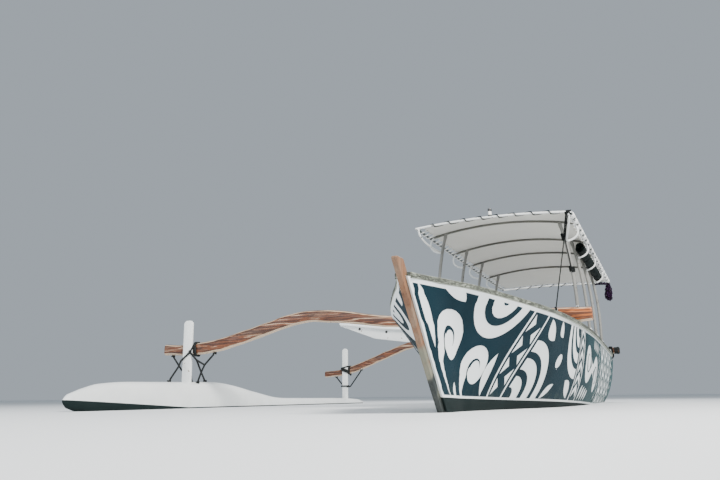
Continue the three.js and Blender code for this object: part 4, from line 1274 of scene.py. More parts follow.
@dataclass
class Pattern:
    """The painted pattern of both sides, as flat motifs laid on the planking."""

    shop: Workshop
    hull: HullForm
    margin: float = 0.04
    cap_strip: float = 0.004
    lean_length: float = 2.4
    aft: float = -4.5
    lift: float = 0.0014
    thick: float = 0.0009
    step: float = 0.05
    levels: int = 40
    height: float = 1.0

    def __post_init__(self) -> None:
        """Finds the fore edge along the stem, and the strip's length from there to the transom."""
        self.stem = []
        for k in range(self.levels + 1):
            x = 5.2
            for _ in range(3):
                x = self.hull.bow_x(lerp(self.foot(x), self.head(x), k / self.levels)) - self.margin
            self.stem.append(x)
        self.head_x = self.front(1.0)
        self.length = self.head_x - self.aft

    def foot(self, x: float) -> float:
        """The lower edge's height."""
        return HULL_WHITE.boot_height + HULL_WHITE.boot_slope * x + 0.024

    def head(self, x: float) -> float:
        """The upper edge's height."""
        return self.hull.sheer(x)[1] - HullForm.RAIL_DEPTH - self.cap_strip

    def front(self, h: float) -> float:
        """The fore edge at a share of the height, along the stem."""
        place = min(max(h * self.levels, 0.0), self.levels - 0.001)
        k = int(place)
        return lerp(self.stem[k], self.stem[k + 1], place - k)

    def place(self, point: Flat, lift: float) -> Vector:
        """A strip point on the port planking."""
        a, h = point
        lean = (self.head_x - self.front(h)) * max(0.0, 1 - a / self.lean_length) ** 2
        x = self.head_x - a - lean
        return self.hull.on(x, lerp(self.foot(x), self.head(x), h), lift)

    def draw(self) -> Stencil:
        """Composes curls, leaves, waves, scales, teeth and chevrons, bow first."""
        work = Stencil(self.length, self.height)
        bare = Ink.BARE
        # bow: two fronds, leaves in their bays and rings that fall from the head
        work.curl(bare, (0.6, 0.55), 0.25, 1.1, 195, 1, 0.16, [(0.26, 0.34), (0.3, 0.14), (0.44, -0.08)])
        work.curl(bare, (1.22, 0.3), 0.22, 1.05, 200, 1, 0.15, [(0.98, 0.06), (1.04, -0.06)])
        work.leaf(bare, (0.07, 1.02), (0.16, 0.44), 0.075, 0.03)
        work.leaf(bare, (0.7, 0.14), (0.66, -0.06), 0.07, -0.02)
        work.leaf(bare, (1.52, 0.0), (1.54, 0.5), 0.075, 0.03)
        work.leaf(bare, (0.4, 1.02), (0.72, 0.92), 0.06, 0.03)
        for k, reach in enumerate((0.11, 0.32)):
            work.arc(bare, (1.22, 1.02), reach, 0.13, 176, 364)
        # first band
        self.band(work, 1.7, 0.34, 4)
        # waves: rings that rise from the foot and fall from the head
        for k, reach in enumerate((0.2, 0.42, 0.64)):
            work.arc(bare, (2.14, 0.0), reach, 0.14, -2, 92)
            work.arc(bare, (3.86, 1.0), reach, 0.14, 178, 272)
        work.curl(bare, (3.0, 0.5), 0.19, 1.1, 250, -1, 0.15, [(3.28, 0.26), (3.38, -0.06)])
        work.leaf(bare, (3.5, 0.26), (3.82, 0.02), 0.08, 0.03)
        work.leaf(bare, (2.2, 0.98), (2.56, 0.74), 0.08, -0.03)
        work.leaf(bare, (2.62, 1.0), (2.86, 0.8), 0.06, -0.02)
        work.leaf(bare, (2.94, 0.0), (3.14, 0.2), 0.06, 0.02)
        # second band
        work.fill(bare, self.upright(3.94, 0.045))
        work.chevrons(bare, 4.03, 0.26, 6, 0.1)
        work.fill(bare, self.upright(4.33, 0.045))
        # two fronds that share one stem, with leaves in their bays
        work.curl(bare, (4.86, 0.6), 0.26, 1.15, 300, 1, 0.16, [(5.3, 0.5), (5.54, 0.36)])
        work.curl(bare, (5.78, 0.4), 0.26, 1.15, 120, 1, 0.16, [(5.32, 0.52), (5.06, 0.68)])
        for k in range(4):
            work.leaf(bare, (4.5 + 0.18 * k, 0.0), (4.64 + 0.18 * k, 0.24 - 0.02 * k), 0.05, 0.02)
            work.leaf(bare, (6.12 - 0.18 * k, 1.0), (5.98 - 0.18 * k, 0.76 + 0.02 * k), 0.05, 0.02)
        # third band
        self.band(work, 6.18, 0.3, 5)
        # scales that overlap like roof tiles, row over row
        self.scales(work, 6.62, 9.2, 0.36)
        # stern: a bar and a row of teeth
        work.fill(bare, self.upright(9.22, 0.035))
        work.teeth(bare, (9.34, 0.0), (9.34, 1.0), 7, -0.16)
        return work

    def upright(self, a: float, width: float) -> list[Flat]:
        """The outline of an upright bar."""
        return [(a, 0.0), (a + width, 0.0), (a + width, self.height), (a, self.height)]

    def band(self, work: Stencil, a: float, width: float, count: int) -> None:
        """Paints an upright band of facing teeth between two bars."""
        work.fill(Ink.BARE, self.upright(a, 0.035))
        work.fill(Ink.BARE, self.upright(a + width, 0.035))
        work.teeth(Ink.BARE, (a + 0.07, self.height), (a + 0.07, 0.0), count, 0.1)
        low, high = 0.5 / count, 1 - 0.5 / count
        work.teeth(Ink.BARE, (a + width - 0.035, low), (a + width - 0.035, high), count - 1, 0.1)

    def scales(self, work: Stencil, start: float, end: float, radius: float) -> None:
        """Paints rows of half rings, each row over the one above it."""
        rows = 4
        rise = self.height / (rows - 0.5)
        for row in range(rows, -2, -1):
            h = row * rise - 0.3 * rise
            shift = radius if row % 2 else 0.0
            count = int((end - start) / (2 * radius)) + 2
            for k in range(-1, count):
                a = start + shift + 2 * radius * k + radius
                self.scale(work, (a, h), radius, (start, end))

    def scale(self, work: Stencil, centre: Flat, radius: float, limits: Flat) -> None:
        """Paints one scale: a dark half disc with bare rings."""
        inks = ((1.0, Ink.BARE), (0.78, Ink.DARK), (0.62, Ink.BARE), (0.34, Ink.DARK))
        for share, ink in inks:
            outline = []
            for k in range(21):
                angle = math.pi * k / 20
                a = centre[0] + radius * share * math.cos(angle)
                h = centre[1] + radius * share * math.sin(angle)
                outline.append((min(max(a, limits[0]), limits[1]), h))
            if max(p[0] for p in outline) - min(p[0] for p in outline) > 0.02:
                work.fill(ink, outline)

    def build(self) -> None:
        """Lays the dark paint on both sides, a hair thick."""
        points, faces = self.draw().regions(self.step)
        used = sorted({i for tri in faces for i in tri})
        lifts = (self.lift, self.lift + self.thick)
        spots = {i: [self.place(points[i], lift) for lift in lifts] for i in used}
        for name, side in Sides:
            form = Form()
            order = form.bm.verts.layers.int.new("order")
            mirror = Matrix.Diagonal((1, side, 1, 1))
            verts = {i: form.bm.verts.new(mirror @ spots[i][0]) for i in used}
            for tri in faces:
                form.bm.faces.new([verts[i] for i in tri])
            for i in used:
                verts[i][order] = i
            made = bmesh.ops.extrude_face_region(form.bm, geom=form.bm.faces[:])
            for vert in (g for g in made["geom"] if isinstance(g, bmesh.types.BMVert)):
                vert.co = mirror @ spots[vert[order]][1]
            bmesh.ops.recalc_face_normals(form.bm, faces=form.bm.faces)
            self.shop.piece(f"painted_pattern_{name}", form, HULL_TEAL)


@dataclass
class Hull:
    """The planked hull: planking, rails, stem, keel, transom and its joinery."""

    shop: Workshop
    form: HullForm
    along: int = 220
    around: int = 14
    rail_steps: int = 150
    rail_around: int = 24
    rail_power: float = 7.0
    rail_clear: float = 0.0003
    plank_top: float = 1.017
    bolt_from: float = 5.38
    bolt_to: float = -4.4
    bolt_pitch: float = 0.86
    sole_pitch: float = 0.13
    deck_pitch: float = 0.11

    def build(self) -> None:
        """Makes the hull's pieces, outside first."""
        for name, side in Sides:
            self.strake(name, side, "side", HullForm.SEAM, self.plank_top, HULL_WHITE)
            self.strake(name, side, "bottom", 0.0, HullForm.SEAM, LOW_WHITE)
            self.rail(name, side)
        self.shop.eased("stem_post", STEM_WOOD, 0.007, 3)
        self.shop.eased("keel", BOTTOM_PAINT, 0.006)
        self.shop.eased("transom", HULL_WHITE, 0.004)
        self.joinery()
        Pattern(self.shop, self.form).build()

    def strake(self, name: str, side: int, kind: str, low: float, high: float, finish: Finish) -> None:
        """Makes one side's planking between two shares of the section, from the stem to the transom."""
        last = self.form.last

        def at(u: float, w: float) -> Vector:
            p = self.form.skin(u * last, lerp(low, high, w))
            return Vector((p.x, side * p.y, p.z))

        form = Form().sheet(at, self.along, self.around, (10.0, 1.2))
        form.facing(Vector((0, side, 0))).thicken(HullForm.PLANK)
        nodes = [f"{kind}_planking_{name}_{length}" for length in ("fore", "middle", "aft")]
        self.shop.piece(f"{kind}_planks_{name}", form, finish, nodes)

    def rail(self, name: str, side: int) -> None:
        """Makes one gunwale rail, round at its edges, from the stem to behind the transom."""
        bow, stern = HullForm.STATIONS[0], HullForm.STATIONS[-1]
        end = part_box(f"gunwale_{name}")[0].x

        def at(u: float, w: float) -> Vector:
            x = lerp(bow.sheer_x, end, u)
            half, top = self.form.sheer(max(x, stern.sheer_x))
            inner = max(half - HullForm.RAIL_IN, HullForm.KEEL_HALF + self.rail_clear)
            outer = half + HullForm.RAIL_OUT
            across, up = squircle(w, self.rail_power)
            y = (inner + outer) / 2 + across * (outer - inner) / 2
            z = top - HullForm.RAIL_SHOWN / 2 + up * HullForm.RAIL_SHOWN / 2
            return Vector((x, side * y, z))

        form = Form().sheet(at, self.rail_steps, self.rail_around, (10.0, 0.3), wrap=True, caps=True)
        self.shop.piece(f"rail_{name}", form, RAIL_WOOD, [f"gunwale_{name}"])
        self.fastenings(name, side)

    def fastenings(self, name: str, side: int) -> None:
        """Sets dark bolt heads along the outside of the rail."""
        bolts = Form()
        head = [(0, 0.005), (0.006, 0.0045), (0.0085, 0.0), (0.0085, -0.004), (0, -0.004)]
        x = self.bolt_from
        while x > self.bolt_to:
            half, top = self.form.sheer(x)
            spot = Vector((x, side * (half + HullForm.RAIL_OUT), top - HullForm.RAIL_SHOWN / 2))
            bolts.turned(head, spot, (0, side, 0), 12)
            x -= self.bolt_pitch
        self.shop.piece(f"rail_bolts_{name}", bolts, BLACK_BOLT)

    def joinery(self) -> None:
        """Makes the frames, decks, benches and deck fittings."""
        for k in range(1, 7):
            self.shop.eased(f"frame_{k}", FRAME_WOOD, 0.003)
        self.shop.boards("sole", "sole_boards", DECK_WOOD, Axis.Y, self.sole_pitch)
        self.shop.boards("foredeck", "foredeck_boards", DECK_WOOD, Axis.Y, self.deck_pitch)
        self.shop.eased("helm_thwart", DECK_WOOD, 0.006, 3)
        for name, _ in Sides:
            self.shop.eased(f"bench_{name}", DECK_WOOD, 0.005, 2)
            self.shop.eased(f"stern_cleat_{name}", STEEL, 0.003)
        self.shop.eased("bow_bitt", BITT_WOOD, 0.005)


@dataclass(frozen=True)
class LogRun:
    """One cross log and its rows of y, top and bottom, with 0 where it sits on the rails."""

    node: str
    x: float
    half: float
    rows: tuple[tuple[float, float, float], ...]

    def named(self, what: str) -> str:
        """The name of a piece that belongs to the log."""
        return self.node.replace("cross_log", what)


FRONT_LOG = LogRun("cross_log_front", 1.67, 0.06, (
    (1.13, 1.25, 1.078), (0.96, 1.255, 0), (0, 1.28, 0), (-0.96, 1.262, 0), (-1.5, 1.277, 1.112),
    (-1.74, 1.297, 1.13), (-2.29, 1.382, 1.206), (-2.64, 1.425, 1.238), (-2.97, 1.438, 1.26),
    (-3.28, 1.4, 1.213), (-3.6, 1.322, 1.125), (-4.03, 1.212, 1.011), (-4.55, 1.088, 0.884),
    (-5.18, 1.01, 0.834), (-5.65, 1.026, 0.85)))
REAR_LOG = LogRun("cross_log_rear", -4.25, 0.055, (
    (1.0, 1.082, 0.972), (0.87, 1.09, 0), (0, 1.105, 0), (-0.87, 1.1, 0), (-1.4, 1.152, 1.013),
    (-2.1, 1.28, 1.132), (-2.75, 1.386, 1.228), (-3.2, 1.417, 1.25), (-3.48, 1.388, 1.22),
    (-4.1, 1.19, 1.02), (-4.7, 0.974, 0.795), (-5.2, 0.81, 0.652), (-5.7, 0.758, 0.618)))


def winding(centre: Vector, u: Vector, v: Vector, along: Vector, turns: float,
            power: float = 2.0) -> list[Vector]:
    """A line wound round a bar.

    Args:
        centre: The middle of the winding.
        u: Half the bar's size one way, as a vector.
        v: Half the bar's size the other way.
        along: The whole winding's advance.
        turns: How many times it goes round.
        power: 2 for a round bar, more for a square one.

    Returns:
        The points of the line.
    """
    steps = 20
    count = round(turns * steps)
    points = []
    for k in range(count + 1):
        c, s = squircle(k / steps, power)
        points.append(centre + u * c + v * s + along * (k / count - 0.5))
    return points


@dataclass
class Outrigger:
    """The outrigger: cross logs, knees, posts and float, and the lines that lash them."""

    shop: Workshop
    hull: HullForm
    seat_gap: float = 0.0003
    seat_reach: float = 1.05
    free_from: float = 1.1
    free_over: float = 0.4
    steps: int = 190
    log_power: float = 2.8
    float_y: float = -5.145
    float_power: float = 2.25
    cord: float = 0.006
    strap: float = 0.015
    peg_neck: float = 0.014
    hole_gap: float = 0.03
    wrap_cord: float = 0.007
    float_rows: tuple[tuple[float, float, float, float], ...] = (
        (4.237, 0.16, 0.105, 0.018), (4.149, 0.221, 0.04, 0.061), (3.952, 0.286, -0.02, 0.102),
        (3.676, 0.353, -0.075, 0.136), (3.224, 0.388, -0.112, 0.157), (2.535, 0.399, -0.13, 0.167),
        (1.747, 0.409, -0.138, 0.169), (1.058, 0.416, -0.138, 0.167), (0.546, 0.374, -0.136, 0.157),
        (-0.103, 0.275, -0.132, 0.14), (-0.989, 0.158, -0.126, 0.12), (-1.993, 0.14, -0.122, 0.116),
        (-4.05, 0.129, -0.112, 0.11), (-4.847, 0.097, -0.084, 0.094), (-5.133, 0.052, -0.018, 0.049))

    def build(self) -> None:
        """Makes the timber first, then the lashings."""
        for log in (FRONT_LOG, REAR_LOG):
            self.log(log)
            for name, side in Sides:
                if log is REAR_LOG:
                    self.rail_lashing(log, name, side)
                else:
                    self.rail_bolts(log, name, side)
        self.float_body()
        for end in ("front", "rear"):
            self.shop.eased(f"float_post_{end}", WHITE_PAINT, 0.012, 3)
            self.shop.eased(f"log_knee_{end}", WHITE_PAINT, 0.004, 2)
        self.knee_bolts(FRONT_LOG, ((-2.12, 1.115), (-1.7, 1.055), (-1.2, 0.985)))
        self.knee_bolts(REAR_LOG, ((-1.86, 1.045), (-1.5, 0.99), (-1.12, 0.935)))
        self.front_straps()
        self.rear_straps()
        self.end_wrap()

    def levels(self, log: LogRun, y: float) -> tuple[float, float]:
        """The top and bottom of a log at a distance from the middle plane."""
        seat = max(self.hull.sheer(log.x + end * log.half)[1] for end in (1, -1)) + self.seat_gap
        top, low = between([(at, top, low or seat) for at, top, low in log.rows], y)
        return top, max(low, seat) if abs(y) < self.seat_reach else low

    def round_log(self, log: LogRun, y: float, cos: float, sin: float, out: float = 0.0) -> Vector:
        """A point round a log, out from its surface."""
        top, low = self.levels(log, y)
        step = 0.06
        slope = (sum(self.levels(log, y + step)) - sum(self.levels(log, y - step))) / (4 * step)
        up = Vector((0, -slope, 1)).normalized()
        thick = (top - low) / 2 * up.z
        return Vector((log.x + cos * (log.half + out), y, (top + low) / 2)) + up * (sin * (thick + out))

    def log(self, log: LogRun) -> None:
        """Makes one cross log, a squared trunk with soft edges and a few flats."""
        start, end = log.rows[0][0], log.rows[-1][0]

        def at(u: float, w: float) -> Vector:
            y = lerp(start, end, u)
            c, s = squircle(w, self.log_power)
            free = smooth((abs(y) - self.free_from) / self.free_over)
            flat = 0.0022 * math.sin(7.3 * y + 2.1 * c) + 0.0016 * math.sin(17.0 * y + 3.0 * s)
            return self.round_log(log, y, c, s, -0.0015 * free + flat * free)

        form = Form().sheet(at, self.steps, 30, (abs(end - start), 0.5), wrap=True, caps=True)
        form.soften_rims(0.007)
        self.shop.piece(log.named("log"), form, LOG_WOOD, [log.node])

    def float_body(self) -> None:
        """Makes the float, full ahead and low and slender aft, with both ends rounded."""
        fore, aft = self.float_rows[0][0], self.float_rows[-1][0]

        def at(u: float, w: float) -> Vector:
            x = lerp(fore, aft, 0.5 - 0.5 * math.cos(math.pi * u))
            top, low, half = between(self.float_rows, x)
            edge = min(min(fore - x, x - aft) / 0.05, 1.0)
            full = math.sqrt(max(1 - (1 - edge) ** 2, 0.0004))
            c, s = squircle(w, self.float_power)
            return Vector((x, self.float_y + c * half * full, (top + low) / 2 + s * (top - low) / 2 * full))

        form = Form().sheet(at, self.steps, 40, (9.4, 1.0), wrap=True, caps=True)
        self.shop.piece("float_hull", form, FLOAT_WHITE, ["float"])

    def on_float(self, x: float, share: float) -> Vector:
        """A point over the float's top, from -1 on its outer side to 1 inboard."""
        top, low, half = between(self.float_rows, x)
        angle = math.pi / 2 * (1 - share)
        c, s = (signed_power(part, 2 / self.float_power) for part in (math.cos(angle), math.sin(angle)))
        return Vector((x, self.float_y + c * half, (top + low) / 2 + s * (top - low) / 2))

    def knee_bolts(self, log: LogRun, spots: Sequence[Flat]) -> None:
        """Sets through bolts with washers in a knee's web, heads on both faces."""
        web = 0.025
        head = [(0, 0.011), (0.009, 0.0105), (0.0105, 0.003), (0.019, 0.0028), (0.0195, -0.001), (0, -0.001)]
        form = Form()
        for y, z in spots:
            for end in (1, -1):
                form.turned(head, (log.x + end * web, y, z), (end, 0, 0), 16)
        self.shop.piece(log.named("knee_bolts"), form, BLACK_BOLT)

    def rail_lashing(self, log: LogRun, name: str, side: int) -> None:
        """Lashes a log down to one rail: two sets of strands that cross over its top."""
        r = self.cord
        half, top = self.hull.sheer(log.x)
        outer, inner = half + HullForm.RAIL_OUT + r, half - HullForm.RAIL_IN - r
        under = top - HullForm.RAIL_SHOWN
        hole_z = under - 0.05
        middle = (outer + inner) / 2
        form = Form()
        for hand in (1, -1):
            for k in range(4):
                gap = log.half + 0.012 + 2.15 * r * k
                x_out, x_in = log.x + hand * gap, log.x - hand * gap
                hole, hole_in = (log.x + end * hand * (log.half + self.hole_gap) for end in (1, -1))
                skin = self.hull.half(hole, hole_z)
                skin_in = self.hull.half(hole_in, hole_z) - HullForm.PLANK
                over = []
                for step in range(13):
                    t = step / 12
                    angle = math.radians(lerp(-32, 212, t))
                    c = signed_power(math.cos(angle), 2 / self.log_power)
                    s = signed_power(math.sin(angle), 2 / self.log_power)
                    lift = r * (1.05 + (2.1 * math.sin(math.pi * t) ** 2 if hand < 0 else 0))
                    y = side * (middle + lerp(0.034, -0.034, t) + (k - 1.5) * 2.15 * r)
                    over.append(self.round_log(log, y, hand * c, s, lift))
                down = [(x_out, side * outer, top - 0.004), (x_out, side * outer, under + 0.006)]
                down_in = [(x_in, side * inner, top - 0.004), (x_in, side * inner, under + 0.006)]
                line = [(hole, side * (skin - 0.01), hole_z), (hole, side * (skin + 1.4 * r), hole_z + 0.003),
                        *down[::-1], *over, *down_in,
                        (hole_in, side * (skin_in - 1.4 * r), hole_z + 0.003),
                        (hole_in, side * (skin_in + 0.008), hole_z)]
                form.tube(rounded(line, 0.008), r, 8)
        self.shop.piece(f"{log.named('lashing')}_{name}", form, BLACK_LINE)
        self.eyes(log, name, side, hole_z)

    def rail_bolts(self, log: LogRun, name: str, side: int) -> None:
        """Sets two through bolts with square washers over one rail."""
        half = self.hull.sheer(log.x)[0]
        form = Form()
        for end in (1, -1):
            y = side * (half - 0.008 + end * 0.012)
            x = log.x + end * 0.03
            top = self.levels(log, y)[0] - 0.0015
            form.box((x - 0.019, y - 0.019, top - 0.002), (x + 0.019, y + 0.019, top + 0.004))
            nut = [(0, 0.018), (0.011, 0.0175), (0.012, 0.014), (0.012, 0.0035), (0, 0.0035)]
            form.turned(nut, (x, y, top), (0, 0, 1), 6)
        self.shop.piece(f"log_bolts_{name}", form, STEEL)

    def eyes(self, log: LogRun, name: str, side: int, z: float) -> None:
        """Rims the holes in the planking that the lashing comes out of."""
        ring = [(0.013, -0.003), (0.021, -0.003), (0.0225, 0.001), (0.0195, 0.0045), (0.0145, 0.0045),
                (0.0125, 0.001), (0.013, -0.003)]
        form = Form()
        for end in (1, -1):
            x = log.x + end * (log.half + self.hole_gap)
            out = self.hull.normal(x, z)
            spot = self.hull.on(x, z, 0.001)
            spot.y *= side
            out.y *= side
            form.turned(ring, spot, out, 20)
        self.shop.piece(f"{log.named('lashing_eyes')}_{name}", form, STEEL)

    def pegs(self, form: Form, spots: Sequence[Vector], ways: Sequence[Vector]) -> None:
        """Adds short round pegs with heads, each standing out one way."""
        peg = [(0, 0.032), (0.011, 0.031), (0.0135, 0.026), (0.0135, 0.022), (0.009, 0.019), (0.009, -0.02),
               (0, -0.02)]
        for spot, way in zip(spots, ways):
            form.turned(peg, spot, way, 16)

    def wind(self, form: Form, log: LogRun, y: float, r: float, along: Flat, shift: float = 0.0) -> None:
        """Winds a line round a log.

        Args:
            form: Where the line goes.
            log: The log.
            y: Where it is wound.
            r: The line's radius.
            along: Its advance and its number of turns.
            shift: How far the winding's middle is from y.
        """
        top, low = self.levels(log, y)
        centre = Vector((log.x, y + shift, (top + low) / 2))
        u, v = Vector((log.half + r, 0, 0)), Vector((0, 0, (top - low) / 2 + r))
        form.tube(winding(centre, u, v, Vector((0, along[0], 0)), along[1], self.log_power), r, 10)

    def hook(self, form: Form, end: Vector, advance: Vector) -> None:
        """Winds a strap's end round the peg that it hangs on."""
        reach = 0.009 + self.strap
        line = winding(end, Vector((reach, 0, 0)), Vector((0, reach, 0)), advance, 1.6)
        form.tube(line, self.strap * 0.7, 8)

    def strand(self, form: Form, points: Sequence[Vector]) -> None:
        """Adds one stretched rubber strap."""
        form.tube(rounded(points, 0.02), self.strap, 10)

    def front_straps(self) -> None:
        """Ties the front post, log and float: a binding, pegs and crossed straps."""
        r = self.strap
        log = FRONT_LOG
        low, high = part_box("float_post_front")
        fore, aft = high.x, low.x
        straps, pegs = Form(), Form()
        # binding round the log, hard against the post's inner edge, and its knot on the post's face
        y = high.y + 0.036
        top, bottom = self.levels(log, y)
        self.wind(straps, log, y, r, (0.044, 2.0))
        knot = Vector((fore + r, high.y - 0.016, 0.88))
        self.strand(straps, [
            (log.x - 0.03, y + 0.02, top + r), (log.x + log.half + r, y + 0.005, top - 0.006), knot,
            (fore + r * 0.6, high.y + r, bottom - 0.004), (log.x - log.half, y, bottom - r)])
        bulge = [(0, 0.034), (0.022, 0.025), (0.028, 0.0), (0.022, -0.025), (0, -0.034)]
        straps.turned(bulge, knot, (0, 0.4, 1), 14)
        outer, inner = (Vector((log.x, y, self.levels(log, y)[1])) for y in (-5.503, -4.679))
        ahead, abaft = self.on_float(2.18, 0.0), self.on_float(1.27, 0.0)
        behind, hidden = self.on_float(1.56, 0.25), self.on_float(1.5, -0.3)
        self.pegs(pegs, [outer, inner, ahead, behind, abaft, hidden], [DOWN, DOWN, UP, UP, UP, UP])
        drop, rise = DOWN * self.peg_neck, UP * self.peg_neck
        split, joint = Vector((1.765, -4.953, 0.748)), Vector((1.68, -4.858, 0.675))
        second = Vector((1.62, -4.964, 0.562))
        self.strand(straps, [knot, (fore + r, low.y - r, 0.744), (1.9, -5.194, 0.654), ahead + rise])
        self.strand(straps, [knot, split, joint])
        self.strand(straps, [split, second, abaft + rise])
        self.strand(straps, [inner + drop, joint, second, behind + rise])
        self.strand(straps, [outer + drop, (1.7, -5.29, 0.599), (aft - r, high.y - 0.03, 0.5), hidden + rise])
        bead = [(0, 0.017), (0.013, 0.014), (0.0175, 0.0), (0.013, -0.014), (0, -0.017)]
        for spot in (split, joint, second):
            straps.turned(bead, spot, (0, 0.5, 1), 12)
        for end in (outer, inner):
            self.hook(straps, end + drop, DOWN * r * 1.6)
        for end in (ahead, behind, abaft, hidden):
            self.hook(straps, end + rise, UP * r * 1.6)
        self.shop.piece("float_straps_front", straps, RUBBER)
        self.shop.piece("float_pegs_front", pegs, WHITE_PAINT)

    def rear_straps(self) -> None:
        """Binds the rear post to its log with slanting turns, and stays it with two straps."""
        r = self.strap
        log = REAR_LOG
        low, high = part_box("float_post_rear")
        fore, back = high.x + r, min(low.x, log.x - log.half) - r
        left, right = low.y - r, high.y + r
        straps, pegs = Form(), Form()
        top_left = self.levels(log, left)[0]
        top_right, low_right = self.levels(log, right)
        line = []
        for k in range(3):
            shift = 2.05 * r * k
            line += [(fore, left, top_left + r - shift * 0.7), (fore, right, low_right + 0.085 - shift * 0.9),
                     (back, right, low_right - r - shift * 0.2), (back, left, top_left + r + shift * 0.2)]
        line += [(fore, left, top_left + r), (fore, right, top_right + r), (back, right, top_right + r)]
        straps.tube(rounded(line, 0.016), r, 10)
        self.wind(straps, log, high.y + 0.03, r, (0.03, 1.5))
        drop = DOWN * self.peg_neck
        for y, foot in ((-5.396, (-4.2, left, 0.44)), (-4.739, (-4.2, -5.02, 0.395))):
            spot = Vector((log.x + 0.03, y, self.levels(log, y)[1]))
            self.pegs(pegs, [spot], [DOWN])
            end = (-4.2, right, 0.385) if y > low.y else (-4.25, left - 0.002, 0.4)
            self.strand(straps, [spot + drop, foot, end])
            self.hook(straps, spot + drop, drop)
        band = Vector(((low.x + high.x) / 2, (left + right) / 2, 0.4))
        u, v = Vector(((high.x - low.x) / 2 + r, 0, 0)), Vector((0, (right - left) / 2, 0))
        straps.tube(winding(band, u, v, Vector((0, 0, 0.024)), 1.5, 9.0), r, 10)
        self.shop.piece("float_straps_rear", straps, RUBBER)
        self.shop.piece("float_pegs_rear", pegs, WHITE_PAINT)

    def end_wrap(self) -> None:
        """Winds rubber round the rear log's port end."""
        r = self.wrap_cord
        log = REAR_LOG
        end = log.rows[0][0]
        top, low = self.levels(log, end)
        form = Form()
        self.wind(form, log, end, r, (0.086, 6.5), -0.045)
        for share in (-0.66, -0.22, 0.22, 0.66):
            x = log.x + share * log.half
            loop = [(x, end - 0.03, top + r), (x, end + r, top), (x, end + r, low), (x, end - 0.03, low - r)]
            form.tube(rounded(loop, 0.012), 0.0135, 10)
        self.shop.piece("log_end_wrap", form, RUBBER)


